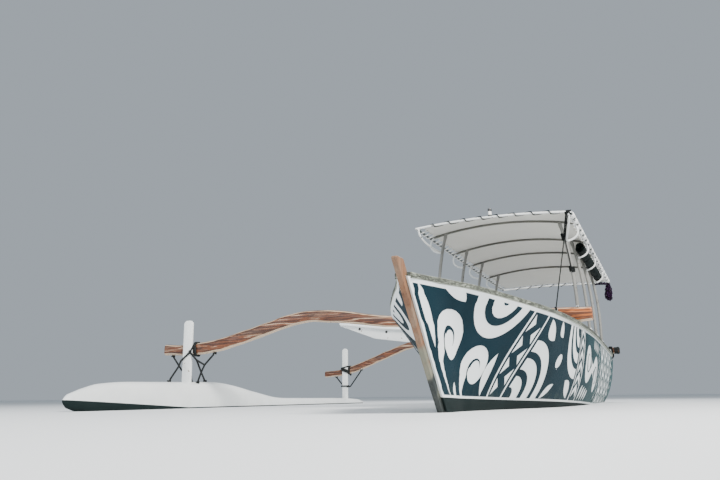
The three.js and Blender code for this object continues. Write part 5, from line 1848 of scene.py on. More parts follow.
@dataclass
class Canopy:
    """The tube frame, the laced cover, the side curtain, the lamp and the garland."""

    shop: Workshop
    hull: HullForm
    front: float = 2.2
    rear: float = -3.02
    front_z: float = 2.39
    rear_z: float = 2.24
    half: float = 1.02
    bows: tuple[Flat, ...] = (
        (2.2, 0.05), (1.59, 0.118), (0.47, 0.13), (-0.5, 0.13), (-1.66, 0.118), (-3.02, 0.024))
    overhang: float = 0.014
    rail_gap: float = 0.0153
    foot_gap: float = 0.0043
    loop_y: float = 0.972
    edge_tube: float = 0.016
    bow_tube: float = 0.015
    loop_tube: float = 0.013
    post_tube: float = 0.0225
    lace: float = 0.062
    sag: float = 0.012
    eyelet_pitch: float = 0.155
    front_pitch: float = 0.22
    bundle_tall: float = 0.085
    bundle_lift: float = 0.03
    bundle_half: float = 0.096
    lace_cord: float = 0.007
    rope: float = 0.009
    stay_x: float = 3.1
    side_inset: float = 0.02
    end_inset: float = 0.016
    sleeve_pitch: float = 0.3
    sleeve_length: float = 0.13
    sleeve_thick: float = 0.0145
    sleeve_start: float = 0.1
    sleeve_end: float = 0.25
    garland_x: float = -3.012
    garland_y: float = 1.0
    garland_drop: float = 0.3
    golden_turn: float = 2.399

    def build(self) -> None:
        """Makes the frame, then the cover and what holds it, then the rest."""
        for k, (x, _) in enumerate(self.bows[1:-1], 1):
            self.hoop(k, x)
        self.front_bow()
        rear = Form().tube(self.arch(self.rear, self.half + self.overhang), self.bow_tube, 16)
        self.shop.piece("rear_bow_tube", rear, TUBE_PAINT, ["canopy_rear_bow"])
        for name, side in Sides:
            ends = (self.edge_at(x, side) for x in (self.front - self.rail_gap, self.rear + self.rail_gap))
            form = Form().tube(straight(*ends, 24), self.edge_tube, 18)
            # the edge tubes take near-black paint as painted shade
            self.shop.piece(f"edge_rail_{name}", form, EDGE_TUBE_PAINTED_SHADE, [f"canopy_rail_{name}"])
        self.cover()
        self.lacing()
        self.corner_rope()
        self.curtain()
        self.lamp()
        self.garland()

    def edge_z(self, x: float) -> float:
        """The height of the frame's edge."""
        return lerp(self.front_z, self.rear_z, (self.front - x) / (self.front - self.rear))

    def rise(self, x: float) -> float:
        """How far the crown stands over the edge, straight from bow to bow."""
        for (a, high), (b, low) in zip(self.bows, self.bows[1:]):
            if x >= b or b == self.rear:
                return lerp(high, low, (a - x) / (a - b))
        return 0.0

    def arch_z(self, x: float, y: float) -> float:
        """The height of a tube's middle on the arch."""
        return self.edge_z(x) + self.rise(x) * (1 - (y / self.half) ** 2)

    def arch_at(self, x: float, y: float) -> Vector:
        """The middle of a tube on the arch."""
        return Vector((x, y, self.arch_z(x, y)))

    def edge_at(self, x: float, side: int = 1) -> Vector:
        """The middle of an edge tube."""
        return Vector((x, side * self.half, self.edge_z(x)))

    def arch(self, x: float, reach: float) -> list[Vector]:
        """The line of one arch from side to side."""
        steps = 18
        return [self.arch_at(x, reach * (k / steps - 1)) for k in range(2 * steps + 1)]

    def post(self, x: float, side: int) -> list[Vector]:
        """The line of one post, from its arch to its foot on the rail."""
        foot = max(self.hull.sheer(x + end)[1] for end in (0.04, -0.04))
        low = Vector((x, side * (self.hull.sheer(x)[0] - 0.006), foot + self.foot_gap))
        top = self.arch_at(x, side * 0.79)
        bend = Vector((x, side * 0.94, self.arch_z(x, self.loop_y) - 0.452))
        return [quadratic(top, bend, low, k / 20) for k in range(21)]

    @staticmethod
    def cubic(a: Vector, b: Vector, c: Vector, d: Vector) -> list[Vector]:
        """Points of a curve with two control points."""
        steps = 22
        line = []
        for k in range(steps + 1):
            t = k / steps
            line.append(a * (1 - t) ** 3 + b * 3 * t * (1 - t) ** 2 + c * 3 * t * t * (1 - t) + d * t**3)
        return line

    def loop(self, x: float, side: int) -> list[Vector]:
        """The half loop from an arch's end back to the post."""
        z = self.arch_z(x, self.loop_y)
        rows = ((self.loop_y, -0.006), (1.045, -0.045), (1.07, -0.215), (0.87, -0.23))
        return self.cubic(*(Vector((x, side * y, z + drop)) for y, drop in rows))

    def collar(self, form: Form, line: Sequence[Vector], share: float, radius: float, length: float) -> None:
        """Adds a welded collar round a tube."""
        i = min(int(share * (len(line) - 1)), len(line) - 2)
        way = (line[i + 1] - line[i]).normalized()
        form.rod(line[i] - way * length / 2, line[i] + way * length / 2, radius, None, 20, 0.002)

    def hoop(self, number: int, x: float) -> None:
        """Makes one hoop: arch, posts, side loops, foot flanges and their collars."""
        flange = [(0, 0), (0.035, 0), (0.036, 0.0015), (0.036, 0.007), (0.0335, 0.009), (0.024, 0.0095),
                  (0.024, 0.016), (0.0235, 0.024), (0, 0.024)]
        screw = [(0, 0.003), (0.003, 0.0026), (0.0045, 0.0), (0.0045, -0.001), (0, -0.001)]
        form, screws, posts = Form(), Form(), Form()
        bow = Form().tube(self.arch(x, 1.0043), self.bow_tube, 16)
        for _, side in Sides:
            post, loop = self.post(x, side), self.loop(x, side)
            posts.tube(post, self.post_tube, 18)
            form.tube(loop, self.loop_tube, 14)
            self.collar(posts, post, 0.05, self.post_tube + 0.003, 0.04)
            self.collar(form, loop, 0.97, self.loop_tube + 0.003, 0.022)
            foot = post[-1] - UP * self.foot_gap
            form.turned(flange, foot)
            for k in range(4):
                angle = math.pi / 4 + math.pi / 2 * k
                spot = foot + Vector((0.0285 * math.cos(angle), 0.0285 * math.sin(angle), 0.009))
                screws.turned(screw, spot, steps=12)
        self.shop.piece(f"hoop_{number}", form, TUBE_PAINT, [f"canopy_hoop_{number}"])
        # the arch takes dark paint as painted shade
        self.shop.piece(f"hoop_bow_{number}", bow, ARCH_PAINTED_SHADE)
        # the posts take dark grey paint as painted shade
        self.shop.piece(f"hoop_posts_{number}", posts, POST_PAINTED_SHADE)
        self.shop.piece(f"hoop_screws_{number}", screws, STEEL)

    def front_bow(self) -> None:
        """Makes the front bow and its two corner braces."""
        x = self.front
        first = self.bows[1][0]
        form = Form().tube(self.arch(x, self.half + self.overhang), self.bow_tube, 16)
        z = self.arch_z(x, self.half - 0.02)
        for _, side in Sides:
            brace = self.cubic(
                Vector((x, side * 0.994, z - 0.004)),
                Vector((x - 0.01, side * 1.012, z - 0.14)),
                Vector((x - 0.25, side * 0.918, z - 0.23)),
                Vector((first + 0.033, side * 0.878, self.arch_z(first, self.loop_y) - 0.225)))
            form.tube(brace, self.loop_tube, 14)
            self.collar(form, brace, 0.06, self.loop_tube + 0.003, 0.03)
        self.shop.piece("front_bow", form, TUBE_PAINT, ["canopy_front_bow"])

    def cloth(self, x: float, y: float) -> float:
        """The underside of the cover: tight over the bows, slack between them."""
        slack = 0.0
        xs = [self.front - self.lace, *(bow[0] for bow in self.bows[1:-1]), self.rear + self.lace]
        for a, b in zip(xs, xs[1:]):
            if b <= x <= a:
                t = (a - x) / (a - b)
                slack = self.sag * math.sin(math.pi * t) ** 2 * (1 - 0.75 * (y / self.half) ** 2)
        ripple = 0.0014 * math.sin(21 * x + 9 * y) * math.sin(6.5 * y) * min(slack / 0.004, 1.0)
        return self.arch_z(x, y) + self.bow_tube * 1.033 + 0.0006 - slack + ripple

    def cover_at(self, u: float, w: float, lift: float = 0.0) -> Vector:
        """A point of the cover by shares aft and to port, with its edges drawn to the eyelets."""
        fore, aft = self.front - self.lace, self.rear + self.lace
        half = self.half - self.lace
        x, y = lerp(fore, aft, u), lerp(-half, half, w)
        edge = 0.008 * (1 - abs(math.cos(math.pi * self.side_share(x))))
        y -= math.copysign(edge * smooth((abs(y) / half - 0.9) * 10), y)
        end = 0.009 * (1 - abs(math.cos(math.pi * self.end_share(y))))
        x += end * (smooth(1 - (1 - u) * 12) - smooth(1 - u * 12))
        return Vector((x, y, self.cloth(x, y) + lift))

    def side_share(self, x: float) -> float:
        """How many eyelets along the side a place is."""
        return (self.front - self.lace - self.side_inset - x) / self.eyelet_pitch

    def end_share(self, y: float) -> float:
        """How many eyelets across an end a place is."""
        return y / self.front_pitch

    def cover(self) -> None:
        """Makes the cover, its hems and its eyelets."""
        thick = 0.0016
        length = self.front - self.rear - 2 * self.lace
        width = path_length([self.cover_at(0.4, k / 40) for k in range(41)])
        form = Form().sheet(lambda u, w: self.cover_at(u, w, thick), 210, 60, (length, width))
        form.facing(UP).thicken(thick)
        cover = self.shop.piece("cover_cloth", form, COVER_CLOTH, ["canopy_cover"])
        hem = self.hem(thick, length, width)
        eyelets = self.eyelets(thick)

    def hem(self, thick: float, length: float, width: float) -> bpy.types.Object:
        """Makes the doubled borders: over the cover all round, and under it at both ends."""
        band_u, band_w = 0.046 / length, 0.044 / width
        ply = 0.0014
        form = Form()
        borders = (
            (0.0, band_u, 0.0, 1.0, 2, 60), (1 - band_u, 1.0, 0.0, 1.0, 2, 60),
            (band_u, 1 - band_u, 0.0, band_w, 200, 2), (band_u, 1 - band_u, 1 - band_w, 1.0, 200, 2),
        )
        for u0, u1, w0, w1, along, across in borders:
            for lift in ((thick + ply + 0.0002, -0.0003) if u1 - u0 < 0.5 else (thick + ply + 0.0002,)):
                strip = Form().sheet(
                    lambda u, w: self.cover_at(lerp(u0, u1, u), lerp(w0, w1, w), lift),
                    along, across, (length * (u1 - u0), width * (w1 - w0)))
                form.stamp(strip.facing(UP).thicken(ply))
        return self.shop.piece("cover_hem", form, HEM_CLOTH)

    def side_spots(self, side: int) -> list[Vector]:
        """Where the eyelets of one side are, on the cover's middle line of its hem."""
        count = int((self.front - self.rear - 2 * self.lace - 0.04) / self.eyelet_pitch)
        fore = self.front - self.lace - self.side_inset
        half = self.half - self.lace - 0.014
        return [Vector((x, side * half, self.cloth(x, half)))
                for x in (fore - k * self.eyelet_pitch for k in range(count + 1))]

    def ends(self) -> tuple[tuple[str, float, float], ...]:
        """Each end's name, and where its row of eyelets and its bow are."""
        return (("front", self.front - self.lace - self.end_inset, self.front),
                ("rear", self.rear + self.lace + self.end_inset, self.rear))

    def end_spots(self, x: float) -> list[Vector]:
        """Where the eyelets across one end are."""
        return [Vector((x, y, self.cloth(x, y))) for y in (k * self.front_pitch for k in range(-4, 5))]

    def eyelets(self, thick: float) -> bpy.types.Object:
        """Makes the brass eyelets along every edge."""
        ring = [(0.0055, 0.0042), (0.0068, 0.0052), (0.0105, 0.0042), (0.0112, 0.0028), (0.0112, -0.0012),
                (0.0105, -0.0022), (0.0068, -0.003), (0.0055, -0.002), (0.0055, 0.0042)]
        form = Form()
        spots = [spot for _, side in Sides for spot in self.side_spots(side)]
        for _, x, _ in self.ends():
            spots += self.end_spots(x)
        eyelet = Form().turned(ring, steps=16)
        places = [Matrix.Translation(spot + Vector((0, 0, thick / 2))) for spot in spots]
        form.stamp(eyelet, places)
        return self.shop.piece("cover_eyelets", form, BRASS)

    def spiral(self, spots: Sequence[Vector], tube_at: Callable[[Vector], Vector], out: Vector,
               radius: float) -> list[Vector]:
        """A lacing line that runs up through each eyelet and down round a tube.

        Args:
            spots: The eyelets in order.
            tube_at: The tube's middle beside a point.
            out: The way from the cover to the tube.
            radius: The tube's radius.

        Returns:
            The points of the line.
        """
        line = []
        reach = radius + self.lace_cord
        for a, b in zip(spots, spots[1:]):
            line.append(a + UP * (self.lace_cord + 0.005))
            for k, angle in enumerate((75, 25, -25, -75)):
                turn = math.radians(angle)
                spot = a.lerp(b, 0.5 + 0.06 * (k - 1.5))
                line.append(tube_at(spot) + out * reach * math.cos(turn) + UP * reach * math.sin(turn))
            line.append(b - UP * (self.lace_cord + 0.004))
        line.append(spots[-1] + UP * (self.lace_cord + 0.005))
        return line

    def lacing(self) -> None:
        """Laces the cover to the tubes: pale along the sides, dark across both ends."""
        for name, side in Sides:
            spots = self.side_spots(side)
            out = Vector((0, side, 0))
            line = self.spiral(spots, lambda spot: self.edge_at(spot.x, side), out, self.edge_tube)
            self.shop.piece(f"side_lacing_{name}", Form().tube(bowed(line, 3), self.lace_cord, 8), WHITE_LINE)
            if side > 0:
                self.sleeves(name, side)
        for name, x, edge in self.ends():
            out = Vector((math.copysign(1, edge), 0, 0))
            line = self.spiral(self.end_spots(x), lambda spot: self.arch_at(edge, spot.y), out, self.bow_tube)
            self.shop.piece(f"end_lacing_{name}", Form().tube(bowed(line, 3), self.lace_cord, 8), BLACK_LINE)

    def sleeves(self, name: str, side: int) -> None:
        """Wraps the edge tube of one side in short pale sleeves over the lacing."""
        form = Form()
        x = self.front - self.sleeve_start
        while x - self.sleeve_end > self.rear:
            ends = (self.edge_at(at, side) for at in (x, x - self.sleeve_length))
            form.rod(*ends, self.edge_tube + self.sleeve_thick, None, 20, 0.003)
            x -= self.sleeve_pitch
        self.shop.piece(f"edge_sleeves_{name}", form, HEM_CLOTH)

    def corner_rope(self) -> None:
        """Ties the front port corner down to the first post, and stays it taut to the rail ahead."""
        r = self.rope
        corner = Vector((self.front - 0.01, self.half - 0.03, self.edge_z(self.front)))
        first = self.bows[1][0]
        post = self.post(first, 1)
        joint = post[4]
        form = Form()
        reach = self.bow_tube + r
        form.tube(winding(corner, Vector((reach, 0, 0)), UP * reach, Vector((0, -0.07, 0)), 4), r, 10)
        reach = self.post_tube + r
        for spot, turns in ((4, 5), (11, 4)):
            way = (post[spot + 1] - post[spot - 1]).normalized()
            fore = Vector((1, 0, 0))
            form.tube(winding(post[spot], fore * reach, way.cross(fore).normalized() * reach,
                              way * turns * 2.1 * r, turns), r, 10)
        knot = joint + Vector((self.post_tube + 2 * r, 0.008, 0.0))
        lug = [(0, 0.032), (0.018, 0.026), (0.026, 0.009), (0.026, -0.011), (0.018, -0.026), (0, -0.032)]
        form.turned(lug, knot, (0.3, 0.2, 1), 16)
        start = corner + Vector((0.0, -0.02, -self.bow_tube - r))
        for k in (-1, 1):
            form.tube([point + Vector((0, k * r * 1.05, 0)) for point in straight(start, knot, 8)], r, 10)
        lower = post[11] + Vector((self.post_tube + r, 0, 0))
        form.tube(straight(knot, lower, 12), r * 0.8, 10)
        self.shop.piece("corner_rope", form, BLACK_LINE)
        half, top = self.hull.sheer(self.stay_x)
        thin = self.lace_cord
        eye = Vector((self.stay_x, half - 0.008, top + 0.03))
        stay = Form().tube(straight(knot, eye, 30), thin, 8)
        stay.tube(winding(eye, Vector((0.011, 0, 0)), UP * 0.014, Vector((0, 0.018, 0)), 2), thin, 8)
        self.shop.piece("corner_stay", stay, BLACK_LINE)
        plate = Form().turned([(0, 0), (0.022, 0), (0.022, 0.003), (0.02, 0.004), (0, 0.004)],
                              (self.stay_x, half - 0.008, top + 0.0002), steps=24)
        ring = [eye + Vector((0.0, 0.016 * math.cos(a), 0.016 * math.sin(a) - 0.012))
                for a in (2 * math.pi * k / 20 for k in range(20))]
        plate.tube(ring, 0.003, 8, ring=True)
        self.shop.piece("stay_eye", plate, STEEL)

    def curtain(self) -> None:
        """Makes the side curtain, bundled up in the port loops, and its ties."""
        low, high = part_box("curtain_roll")
        wide, tall, y = (high.y - low.y) / 2, self.bundle_tall, (high.y + low.y) / 2
        turns, inner, outer = 6.0, 0.2, 0.955
        ties = (0.56, -0.02, -0.75, -1.3, -1.68)

        def height(x: float) -> float:
            rise = lerp(low.z + self.bundle_half, high.z - self.bundle_half, (x - low.x) / (high.x - low.x))
            return rise + self.bundle_lift

        def at(u: float, w: float) -> Vector:
            x = lerp(high.x, low.x, u)
            angle = 2 * math.pi * turns * w + 0.9
            waist = sum(math.exp(-(((x - tie) / 0.06) ** 2)) for tie in ties)
            reach = lerp(inner, outer, w) * (1 - 0.1 * min(waist, 1.0))
            fold = math.sin(9 * x + 2 * angle) + 0.8 * math.sin(23 * x - 3 * angle + 2 * math.sin(5 * x))
            reach *= 1 + 0.024 * fold * w
            stagger = 0.011 * math.sin(angle * 0.7) * (1 - 2 * u)
            across, up = wide * reach * math.cos(angle), tall * reach * math.sin(angle)
            return Vector((x + stagger, y + across, height(x) + up))

        width = path_length([at(0.5, k / 240) for k in range(241)])
        form = Form().sheet(at, 130, 220, (high.x - low.x, width))
        form.thicken(0.0016)
        roll = self.shop.piece("curtain_sheet", form, CURTAIN_CLOTH, ["curtain_roll"])
        bands = Form()
        band, thin = 0.0035, 0.003
        for tie in ties:
            centre = Vector((tie, y, height(tie)))
            u, v = Vector((0, wide * 0.88 + band, 0)), UP * (tall * 0.88 + band)
            for k in range(2):
                at_x = centre + Vector((0.014 * (k - 0.5), 0, 0))
                bands.tube(winding(at_x, u, v, Vector((0.008, 0, 0)), 1.1), band, 8)
            top = centre + Vector((0, 0.02, v.z))
            edge = Vector((tie, self.half - self.edge_tube - thin, self.edge_z(tie)))
            bands.tube(straight(top, edge, 6), thin, 8)
            reach = self.edge_tube + thin
            hold = winding(self.edge_at(tie), Vector((0, reach, 0)), UP * reach, Vector((0.012, 0, 0)), 2.1)
            bands.tube(hold, thin, 8)
        tied = self.shop.piece("curtain_ties", bands, BLACK_LINE)

    def lamp(self) -> None:
        """Makes the masthead lamp: foot, ribbed lens and black cap."""
        base = Vector((self.front, 0, self.arch_z(self.front, 0) + self.bow_tube - 0.0004))
        ribs = [(0, 0.012), (0.0205, 0.012), (0.0225, 0.014)]
        for k in range(6):
            z = 0.016 + k * 0.0072
            ribs += [(0.024, z + 0.0018), (0.0232, z + 0.0054)]
        ribs += [(0.0225, 0.0605), (0, 0.0605)]
        self.shop.piece("lamp_lens", Form().turned(ribs, base, steps=40), LENS, ["masthead_light"])
        foot = [(0, 0), (0.019, 0), (0.0225, 0.0015), (0.0235, 0.009), (0.0225, 0.0118), (0, 0.0118)]
        cap = [(0, 0.061), (0.0245, 0.061), (0.0259, 0.064), (0.0259, 0.094), (0.0235, 0.0985),
               (0.016, 0.1015), (0, 0.102)]
        fittings = Form().turned(foot, base, steps=36).turned(cap, base, steps=36)
        self.shop.piece("lamp_cap", fittings, BLACK_PLASTIC)

    def blossom(self, size: float, seed: int) -> Form:
        """Makes one five-petalled blossom that faces up, with its tint rising to the rim."""
        chance = random.Random(seed)
        form = Form()
        layer = form.bm.verts.layers.float.new("tint")
        for k in range(5):
            turn = Matrix.Rotation(2 * math.pi * k / 5 + chance.uniform(-0.12, 0.12), 4, "Z")
            cup = chance.uniform(0.35, 0.75)
            wide = chance.uniform(0.38, 0.46)
            rows = []
            for i in range(5):
                t = i / 4
                half = size * wide * math.sin(math.pi * min(t * 0.82 + 0.1, 1.0)) ** 0.8
                rise = size * cup * (t**1.4) * 0.6 - size * 0.22 * max(t - 0.7, 0)
                row = []
                for j in range(4):
                    s = j / 3 * 2 - 1
                    spot = Vector((size * t + 0.001, half * s, rise + size * 0.1 * s * s))
                    vert = form.bm.verts.new(turn @ spot)
                    vert[layer] = t
                    row.append(vert)
                rows.append(row)
            for low, high in zip(rows, rows[1:]):
                for j in range(3):
                    form.bm.faces.new((low[j], high[j], high[j + 1], low[j + 1]))
        form.thicken(size * 0.05)
        return form

    def scatter(self, form: Form, spots: Sequence[tuple[Vector, Vector, float]]) -> None:
        """Adds blossoms at places, each facing its own way."""
        for k, (spot, way, size) in enumerate(spots):
            turn = pointing(way) @ Matrix.Rotation(k * 2.4, 4, "Z")
            form.stamp(self.blossom(size, k), [Matrix.Translation(spot) @ turn])

    def garland(self) -> None:
        """Hangs a string of blossoms from the rear port corner, with a few along the rear bow."""
        chance = random.Random(11)
        x, y = self.garland_x, self.garland_y
        top = self.edge_z(self.rear) - self.edge_tube
        profile = ((0.0, 0.03), (0.14, 0.045), (0.3, 0.09), (0.5, 0.06), (0.7, 0.1), (0.88, 0.07),
                   (1.0, 0.02))
        spots = []
        for k in range(96):
            t = (k + 0.5) / 96
            reach = between(profile, t)[0]
            angle = k * self.golden_turn
            out = Vector((math.cos(angle), math.sin(angle), chance.uniform(-0.5, 0.4))).normalized()
            core = Vector((x, y, top - 0.012 - self.garland_drop * t))
            spot = core + out * reach * chance.uniform(0.3, 0.8)
            spots.append((spot, out, chance.uniform(0.026, 0.036)))
        form = Form()
        form.bm.verts.layers.float.new("tint")
        self.scatter(form, spots)
        self.shop.piece("garland_blossoms", form, BLOSSOM, ["garland"])
        thin, reach = 0.0025, self.edge_tube + 0.003
        foot = Vector((x, y, top - self.garland_drop - 0.01))
        string = Form().tube(straight(Vector((x, y, top)), foot, 12), thin, 8)
        string.tube(winding(Vector((x, y, self.edge_z(self.rear))), Vector((reach, 0, 0)), UP * reach,
                            Vector((0, 0.014, 0)), 2.1), thin, 8)
        self.shop.piece("garland_string", string, BLACK_LINE)
        spray = Form()
        spray.bm.verts.layers.float.new("tint")
        spots = []
        for k in range(16):
            y = 0.985 - 0.0155 * k
            angle = k * 2.1
            out = Vector((math.cos(angle), 0, -abs(math.sin(angle)) - 0.3)).normalized()
            spot = self.arch_at(self.rear, y) + out * (self.bow_tube + 0.005)
            spots.append((spot, out, chance.uniform(0.02, 0.03)))
        self.scatter(spray, spots)
        self.shop.piece("garland_spray", spray, BLOSSOM)


@dataclass
class Outboard:
    """The tiller outboard: clamp, swivel, cowling, leg, gearcase and propeller."""

    shop: Workshop
    cowl_fore: float = -4.645
    cowl_aft: float = -5.18
    cowl_half: float = 0.172
    cowl_levels: tuple[Flat, ...] = (
        (0.492, 0.86), (0.503, 0.925), (0.532, 0.985), (0.6, 0.995), (0.682, 0.99), (0.74, 0.965),
        (0.79, 0.92), (0.823, 0.82), (0.842, 0.69), (0.85, 0.5))
    cowl_outline: tuple[Flat, ...] = (
        (0.0, 0.3), (0.0, 0.6), (0.03, 0.84), (0.1, 0.97), (0.3, 1.0), (0.55, 0.99), (0.75, 0.93),
        (0.9, 0.74), (0.97, 0.52), (1.0, 0.24))
    leg_rows: tuple[tuple[float, float, float, float], ...] = (
        (-0.262, 0.0374, -4.764, -4.92), (0.0, 0.0442, -4.752, -4.9), (0.3, 0.065, -4.752, -4.96),
        (0.4917, 0.1144, -4.722, -5.09))
    shaft_z: float = -0.43
    prop_fore: float = -5.0503
    prop_aft: float = -5.136
    blade_reach: float = 0.142
    hub: float = 0.042

    def build(self) -> None:
        """Makes the motor from the transom outward."""
        self.clamp()
        self.shop.eased("motor_swivel", CASTING, 0.004, 2, Body.TILTING)
        self.cowling()
        self.cowl_fittings()
        self.leg()
        self.lower_unit()
        self.tiller()
        self.propeller()

    def clamp(self) -> None:
        """Makes the clamp bracket, its screw handles and the tilt tube's nuts."""
        self.shop.eased("motor_clamp", CASTING, 0.003, 2)
        form = Form()
        for side in (1, -1):
            knob = Vector((-4.431, side * 0.062, 0.285))
            reach = Vector((0, 0.034, 0.012))
            form.rod(knob - reach, knob + reach, 0.0042, None, 14, 0.001)
            for end in (1, -1):
                tip = knob + reach * end
                form.turned([(0, -0.007), (0.0058, -0.004), (0.0068, 0), (0.0058, 0.004), (0, 0.007)], tip,
                            (0, 0.94, 0.33), 16)
            nut = [(0, 0), (0.017, 0), (0.017, 0.003), (0.0145, 0.0035), (0.0145, 0.011), (0.012, 0.013),
                   (0, 0.013)]
            form.turned(nut, (-4.6, side * 0.1002, 0.4), (0, side, 0), 6)
        self.shop.piece("clamp_handles", form, STEEL)

    def cowl_point(self, z: float, turn: float, out: float = 0.0) -> Vector:
        """A point round the cowling at a height, once round from the fore face."""
        share = between(self.cowl_levels, z)[0]
        count = len(self.cowl_outline)
        half_turn = turn * 2 if turn <= 0.5 else (1 - turn) * 2
        rows = [(i / (count - 1), *row) for i, row in enumerate(self.cowl_outline)]
        back, wide = between(rows, half_turn)
        middle = (self.cowl_fore + self.cowl_aft) / 2
        x = lerp(middle, lerp(self.cowl_fore - 0.002, self.cowl_aft, back), share)
        y = wide * self.cowl_half * share
        point = Vector((x, y if turn <= 0.5 else -y, z))
        away = Vector((x - middle, point.y * 1.6, 0)).normalized()
        return point + away * out

    def cowling(self) -> None:
        """Makes the cowling as one smooth shell on its pan, with a seam between them."""
        low, high = self.cowl_levels[0][0], self.cowl_levels[-1][0]
        seam = 0.548

        def shell(start: float, end: float, rounded_edge: float) -> Form:
            def at(u: float, w: float) -> Vector:
                z = lerp(start, end, u)
                edge = min(z - start, end - z if end < high else 1.0)
                tuck = 0.004 * max(0.0, 1 - edge / rounded_edge) ** 2
                return self.cowl_point(z, w % 1.0, -tuck)

            return Form().sheet(at, 40, 72, (0.36, 1.3), wrap=True, caps=True)

        form = shell(low, seam - 0.0012, 0.006)
        form.stamp(shell(seam + 0.0012, high, 0.008))
        core = Form().sheet(
            lambda u, w: self.cowl_point(lerp(seam - 0.01, seam + 0.01, u), w % 1.0, -0.008), 2, 72,
            (0.02, 1.3), wrap=True, caps=True)
        form.stamp(core)
        self.shop.piece("cowl_shell", form, SHELL, ["motor_cowling"], Body.MOTOR)

    def patch(self, levels: Flat, turns: Flat, out: float, steps: tuple[int, int], size: Flat) -> Form:
        """A sheet laid on part of the cowling.

        Args:
            levels: Its foot and head.
            turns: Its two ends, by their shares of the way round.
            out: How far it is off the shell.
            steps: Its grid along and up.
            size: Its size in metres.

        Returns:
            The open sheet.
        """

        def at(u: float, w: float) -> Vector:
            return self.cowl_point(lerp(*levels, w), lerp(*turns, u) % 1.0, out)

        return Form().sheet(at, *steps, size)

    def band(self, z0: float, z1: float, a: float, b: float) -> Form:
        """A thin strip laid round part of the cowling."""
        strip = self.patch((z0, z1), (a, b), 0.0012, (60, 4), (abs(b - a) * 1.3, z1 - z0))
        return strip.facing(Vector((0, 1 if a + b < 1 else -1, 0))).thicken(0.0014)

    def cowl_fittings(self) -> None:
        """Makes the plain bands, air slots, latch, pull handle and carrying grip."""
        bands = Form()
        for z0, z1 in ((0.6, 0.618), (0.624, 0.63)):
            for a, b in ((0.09, 0.4), (0.6, 0.91)):
                bands.stamp(self.band(z0, z1, a, b))
        self.shop.piece("cowl_bands", bands, SILVER_BAND, body=Body.MOTOR)
        slots = Form()
        slot = 0.0075
        for k in range(5):
            z = 0.7 + 0.016 * k
            for a, b in ((0.4, 0.462), (0.538, 0.6)):
                form = self.patch((z, z + slot), (a, b), 0.0022, (12, 3), (0.08, slot))
                slots.stamp(form.facing(Vector((-1, 0, 0))).thicken(0.003))
        self.shop.piece("cowl_slots", slots, BLACK_PLASTIC_MOTOR, body=Body.MOTOR)
        fittings = Form()
        front = self.cowl_point(0.655, 0.0).x
        fittings.box((front - 0.004, -0.03, 0.636), (front + 0.006, 0.03, 0.676), 0.004, 3)
        fittings.rod((front + 0.004, 0, 0.656), (front + 0.016, 0, 0.656), 0.006, None, 16, 0.001)
        fittings.rod((front + 0.02, -0.024, 0.656), (front + 0.02, 0.024, 0.656), 0.0075, None, 18, 0.003)
        latch_x = self.cowl_point(0.52, 0.0).x
        fittings.box((latch_x - 0.004, -0.018, 0.512), (latch_x + 0.004, 0.018, 0.546), 0.003, 3)
        fittings.turned([(0, 0), (0.011, 0), (0.012, 0.002), (0.0105, 0.009), (0, 0.01)],
                        (front - 0.001, 0.062, 0.6), (1, 0, 0), 20)
        self.shop.piece("cowl_fittings", fittings, BLACK_PLASTIC_MOTOR, body=Body.MOTOR)

    def leg(self) -> None:
        """Makes the leg, full under the cowling and slender below, with its two yokes."""
        low, high = self.leg_rows[0][0], self.leg_rows[-1][0]

        def at(u: float, w: float) -> Vector:
            z = lerp(low, high, u)
            half, fore, aft = between(self.leg_rows, z)
            c, s = squircle(w, 2.5)
            return Vector(((fore + aft) / 2 + c * (fore - aft) / 2, s * half, z))

        form = Form().sheet(at, 60, 48, (0.75, 0.5), wrap=True, caps=True)
        form.soften_rims(0.004)
        for bottom, top in ((0.4403, 0.4915), (0.018, 0.0597)):
            form.rod((-4.69, 0, bottom), (-4.69, 0, top), 0.034, None, 32, 0.004)
            form.box((-4.792, -0.028, bottom), (-4.69, 0.028, top), 0.006, 3)
        self.shop.piece("motor_leg", form, SHELL_SATIN, ["motor_midsection"], Body.MOTOR)

    def lower_unit(self) -> None:
        """Makes the plate, strut, gearcase and skeg, with an anode and an intake grille."""
        top, z = -0.2623, self.shaft_z
        form = Form()
        edge = [(-4.732, 0.02), (-4.75, 0.05), (-4.792, 0.086), (-4.86, 0.1), (-4.95, 0.106), (-5.06, 0.108),
                (-5.115, 0.1), (-5.138, 0.076)]
        outline = [(x, y, top - 0.009) for x, y in edge] + [(x, -y, top - 0.009) for x, y in reversed(edge)]
        form.plate(outline, (0, 0, 0.009), 0.003, 2)

        def strut(u: float, w: float) -> Vector:
            fore, aft = lerp(-4.757, -4.749, u), lerp(-4.938, -4.985, u)
            angle = 2 * math.pi * w
            along = (1 + math.cos(angle)) / 2
            thick = 0.02 * math.sin(angle) * (0.55 + 0.45 * along**0.5)
            return Vector((lerp(aft, fore, along), thick, lerp(top - 0.004, z, u)))

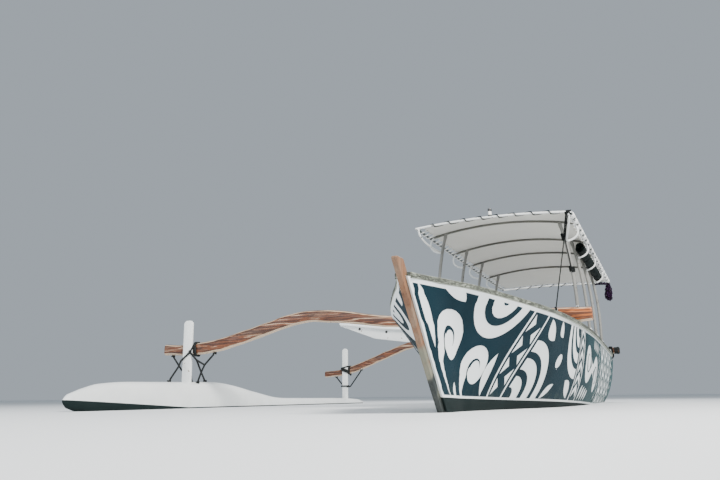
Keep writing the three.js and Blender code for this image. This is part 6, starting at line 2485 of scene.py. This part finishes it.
        form.stamp(Form().sheet(strut, 12, 40, (0.17, 0.4), wrap=True, caps=True))
        bullet = [(0, -5.05), (0.036, -5.05), (0.04, -5.048), (0.043, -5.02), (0.0485, -4.97),
                  (0.05, -4.93), (0.05, -4.82), (0.047, -4.782), (0.038, -4.752), (0.026, -4.73),
                  (0.012, -4.718), (0, -4.715)]
        form.turned(bullet, (0, 0, z), (1, 0, 0), 40)
        fin = [(-4.806, z), (-4.9, -0.592), (-4.916, -0.6), (-4.995, -0.6), (-5.004, -0.594), (-5.03, z)]
        form.plate([(x, -0.006, h) for x, h in fin], (0, 0.012, 0), 0.0035, 2)
        self.shop.piece("gearcase", form, CASTING_MOTOR, ["motor_lower_unit"], Body.MOTOR)
        detail = Form()
        detail.box((-5.1, -0.009, -0.326), (-5.03, 0.009, -0.2713), 0.004, 2)
        for side in (1, -1):
            for k in range(4):
                x, y = -4.81 - 0.016 * k, side * 0.0192
                detail.box((x - 0.004, y - 0.0022, -0.352), (x + 0.004, y + 0.0022, -0.318), 0.001, 1)
            screw = [(0, 0.0022), (0.007, 0.0018), (0.0078, 0), (0.0078, -0.003), (0, -0.003)]
            detail.turned(screw, (-4.83, side * 0.0475, z + 0.012), (0, side, 0.25), 18)
        self.shop.piece("gearcase_fittings", detail, ANODE, body=Body.MOTOR)

    def tiller(self) -> None:
        """Makes the steering arm, its ribbed grip and the stop button."""
        arm = Form().of_node(self.shop.nodes["motor_tiller"])
        arm.cut((-4.216, 0, 0), (1, 0, 0))
        arm.soften(arm.bm.verts[:], 0.006, 3)
        self.shop.piece("tiller_arm", arm, SHELL_SATIN, ["motor_tiller"], Body.MOTOR)
        profile = [(0, -4.214), (0.0185, -4.214), (0.019, -4.211), (0.019, -4.2), (0.0165, -4.198)]
        for k in range(15):
            x = -4.196 + 0.0066 * k
            profile += [(0.0166, x), (0.0183, x + 0.0012), (0.0183, x + 0.0044), (0.0166, x + 0.0056)]
        profile += [(0.0175, -4.095), (0.019, -4.092), (0.019, -4.088), (0.0165, -4.0855), (0, -4.085)]
        grip = Form().turned(profile, (0, 0, 0.548), (1, 0, 0), 36)
        self.shop.piece("tiller_grip", grip, GRIP, body=Body.MOTOR)
        button = Form().turned([(0, 0), (0.009, 0), (0.0095, 0.002), (0.0085, 0.008), (0, 0.009)],
                               (-4.29, 0, 0.564), steps=22)
        self.shop.piece("tiller_button", button, RED_PLASTIC, body=Body.MOTOR)

    def blade(self) -> Form:
        """Makes one twisted blade that stands up from the shaft."""
        rows = ((0.026, 0.04, 0.0085), (0.05, 0.066, 0.0072), (0.08, 0.09, 0.0056), (0.108, 0.098, 0.0042),
                (0.128, 0.082, 0.003), (0.138, 0.05, 0.0022), (0.142, 0.012, 0.0016))
        middle = (self.prop_fore + self.prop_aft) / 2 + 0.004

        def at(u: float, w: float) -> Vector:
            reach = lerp(rows[0][0], rows[-1][0], u**0.8)
            chord, thick = between(rows, reach)
            angle = 2 * math.pi * w
            along = math.cos(angle) * chord / 2 + 0.012 * (reach / self.blade_reach) ** 2
            across = math.sin(angle) * thick / 2 * (1.1 - 0.5 * abs(math.cos(angle)))
            lean = math.radians(lerp(40, 66, smooth(u)))
            camber = 0.004 * (1 - (2 * along / max(chord, 0.01)) ** 2) * (1 - u)
            x = along * math.cos(lean) - (across + camber) * math.sin(lean)
            y = along * math.sin(lean) + (across + camber) * math.cos(lean)
            return Vector((middle + x - 0.006 * u, y, math.sqrt(max(reach * reach - y * y, TINY))))

        return Form().sheet(at, 26, 28, (0.12, 0.2), wrap=True, caps=True)

    def propeller(self) -> None:
        """Makes the hub, its nut and three blades."""
        form = Form()
        fore, aft, hub = self.prop_fore, self.prop_aft, self.hub
        profile = [(0, aft + 0.03), (0.029, aft + 0.03), (0.0305, aft + 0.004), (0.034, aft),
                   (0.0375, aft + 0.003), (0.0385, aft + 0.02), (hub, aft + 0.034), (hub, fore - 0.004),
                   (hub - 0.002, fore), (0, fore)]
        form.turned(profile, (0, 0, self.shaft_z), (1, 0, 0), 48)
        shaft = Matrix.Translation((0, 0, self.shaft_z))
        form.stamp(self.blade(), [shaft @ Matrix.Rotation(2 * math.pi * k / 3, 4, "X") for k in range(3)])
        self.shop.piece("propeller_blades", form, BLADE_METAL, ["propeller"], Body.PROPELLER)
        nut = [(0, aft + 0.004), (0.007, aft + 0.005), (0.0105, aft + 0.009), (0.0105, aft + 0.022),
               (0.015, aft + 0.023), (0.015, aft + 0.031), (0, aft + 0.031)]
        self.shop.piece("propeller_nut", Form().turned(nut, (0, 0, self.shaft_z), (1, 0, 0), 6), STEEL_PROP,
                        body=Body.PROPELLER)


@dataclass
class Studio:
    """The pale floor at the waterline, the soft lights and the camera low off the bow."""

    hull: HullForm
    eye: tuple[float, float, float] = (10.95, 2.04, 0.15)
    yaw: float = 24.1
    pitch: float = 12.76
    roll: float = -0.55
    focal_px: float = 693.0
    frame_px: float = 720.0
    floor_reach: float = 400.0

    def build(self) -> None:
        """Sets the floor, the lights and the camera."""
        self.floor()
        self.world()
        self.lamp("key", (9.5, 8.5, 11.0), (0.0, -0.5, 0.8), 5.0, 5200.0, (1.0, 0.975, 0.94))
        self.lamp("fill", (13.0, -9.0, 6.0), (1.0, -2.0, 0.6), 8.0, 900.0, (0.95, 0.98, 1.0))
        self.lamp("back", (-10.0, -2.0, 10.0), (-1.0, -1.5, 1.0), 8.0, 900.0, (1.0, 1.0, 1.0))
        self.camera()

    def floor(self) -> None:
        """Lays a plain pale floor at the waterline, open inside the planking."""
        form = Form()
        reach = self.floor_reach
        shore = [(-reach, -reach), (reach, -reach), (reach, reach), (-reach, reach)]
        level = round(-HullForm.LOW / HullForm.LEVEL)
        port = [(x, y - HullForm.PLANK / 2) for x, y in self.hull.table[level] if y > 0.05]
        for outline in (shore, port + [(x, -y) for x, y in reversed(port)]):
            verts = [form.bm.verts.new((x, y, 0)) for x, y in outline]
            for a, b in zip(verts, verts[1:] + verts[:1]):
                form.bm.edges.new((a, b))
        bmesh.ops.triangle_fill(form.bm, use_beauty=True, edges=form.bm.edges[:], normal=(0, 0, 1))
        mesh = form.facing(UP).mesh("floor")
        floor_finish = Graph("floor_pale", (0.8, 0.82, 0.83), 0.6)
        mesh.materials.append(floor_finish.material)
        piece = bpy.data.objects.new("floor", mesh)
        link(piece)

    def world(self) -> None:
        """Fills the room with soft pale light."""
        world = bpy.data.worlds.new("studio")
        world.use_nodes = True
        back = world.node_tree.nodes["Background"]
        back.inputs["Color"].default_value = (0.62, 0.7, 0.78, 1)
        back.inputs["Strength"].default_value = 0.62
        bpy.context.scene.world = world

    def lamp(self, name: str, at: Sequence[float], to: Sequence[float], size: float, power: float,
             color: Color) -> None:
        """Hangs one soft light."""
        light = bpy.data.lights.new(name, "AREA")
        light.shape = "DISK"
        light.size = size
        light.energy = power
        light.color = color
        lamp = bpy.data.objects.new(name, light)
        lamp.location = at
        lamp.rotation_euler = (Vector(to) - Vector(at)).to_track_quat("-Z", "Y").to_euler()
        link(lamp)

    def camera(self) -> None:
        """Sets the camera where the photograph was taken from."""
        yaw, pitch, roll = (math.radians(a) for a in (self.yaw, self.pitch, self.roll))
        head = Vector((-math.cos(yaw), -math.sin(yaw), 0))
        right = Vector((head.y, -head.x, 0))
        ahead = head * math.cos(pitch) + Vector((0, 0, math.sin(pitch)))
        up = -head * math.sin(pitch) + Vector((0, 0, math.cos(pitch)))
        side = right * math.cos(roll) + up * math.sin(roll)
        top = up * math.cos(roll) - right * math.sin(roll)
        data = bpy.data.cameras.new("camera")
        data.sensor_width = 36.0
        data.lens = self.focal_px / self.frame_px * data.sensor_width
        data.clip_end = 1000.0
        camera = bpy.data.objects.new("camera", data)
        turn = Matrix((side, top, -ahead)).transposed().to_4x4()
        camera.matrix_world = Matrix.Translation(Vector(self.eye)) @ turn
        link(camera)
        bpy.context.scene.camera = camera


def main() -> None:
    """Builds the canoe's looks around the frame, sub-assembly by sub-assembly."""
    logging.basicConfig(level=logging.INFO, format="%(name)s: %(message)s")
    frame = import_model()
    hull = HullForm()
    Studio(hull).build()
    shop = Workshop(frame["nodes"])
    Hull(shop, hull).build()
    Outrigger(shop, hull).build()
    Canopy(shop, hull).build()
    Outboard(shop).build()


if __name__ == "__main__":
    main()
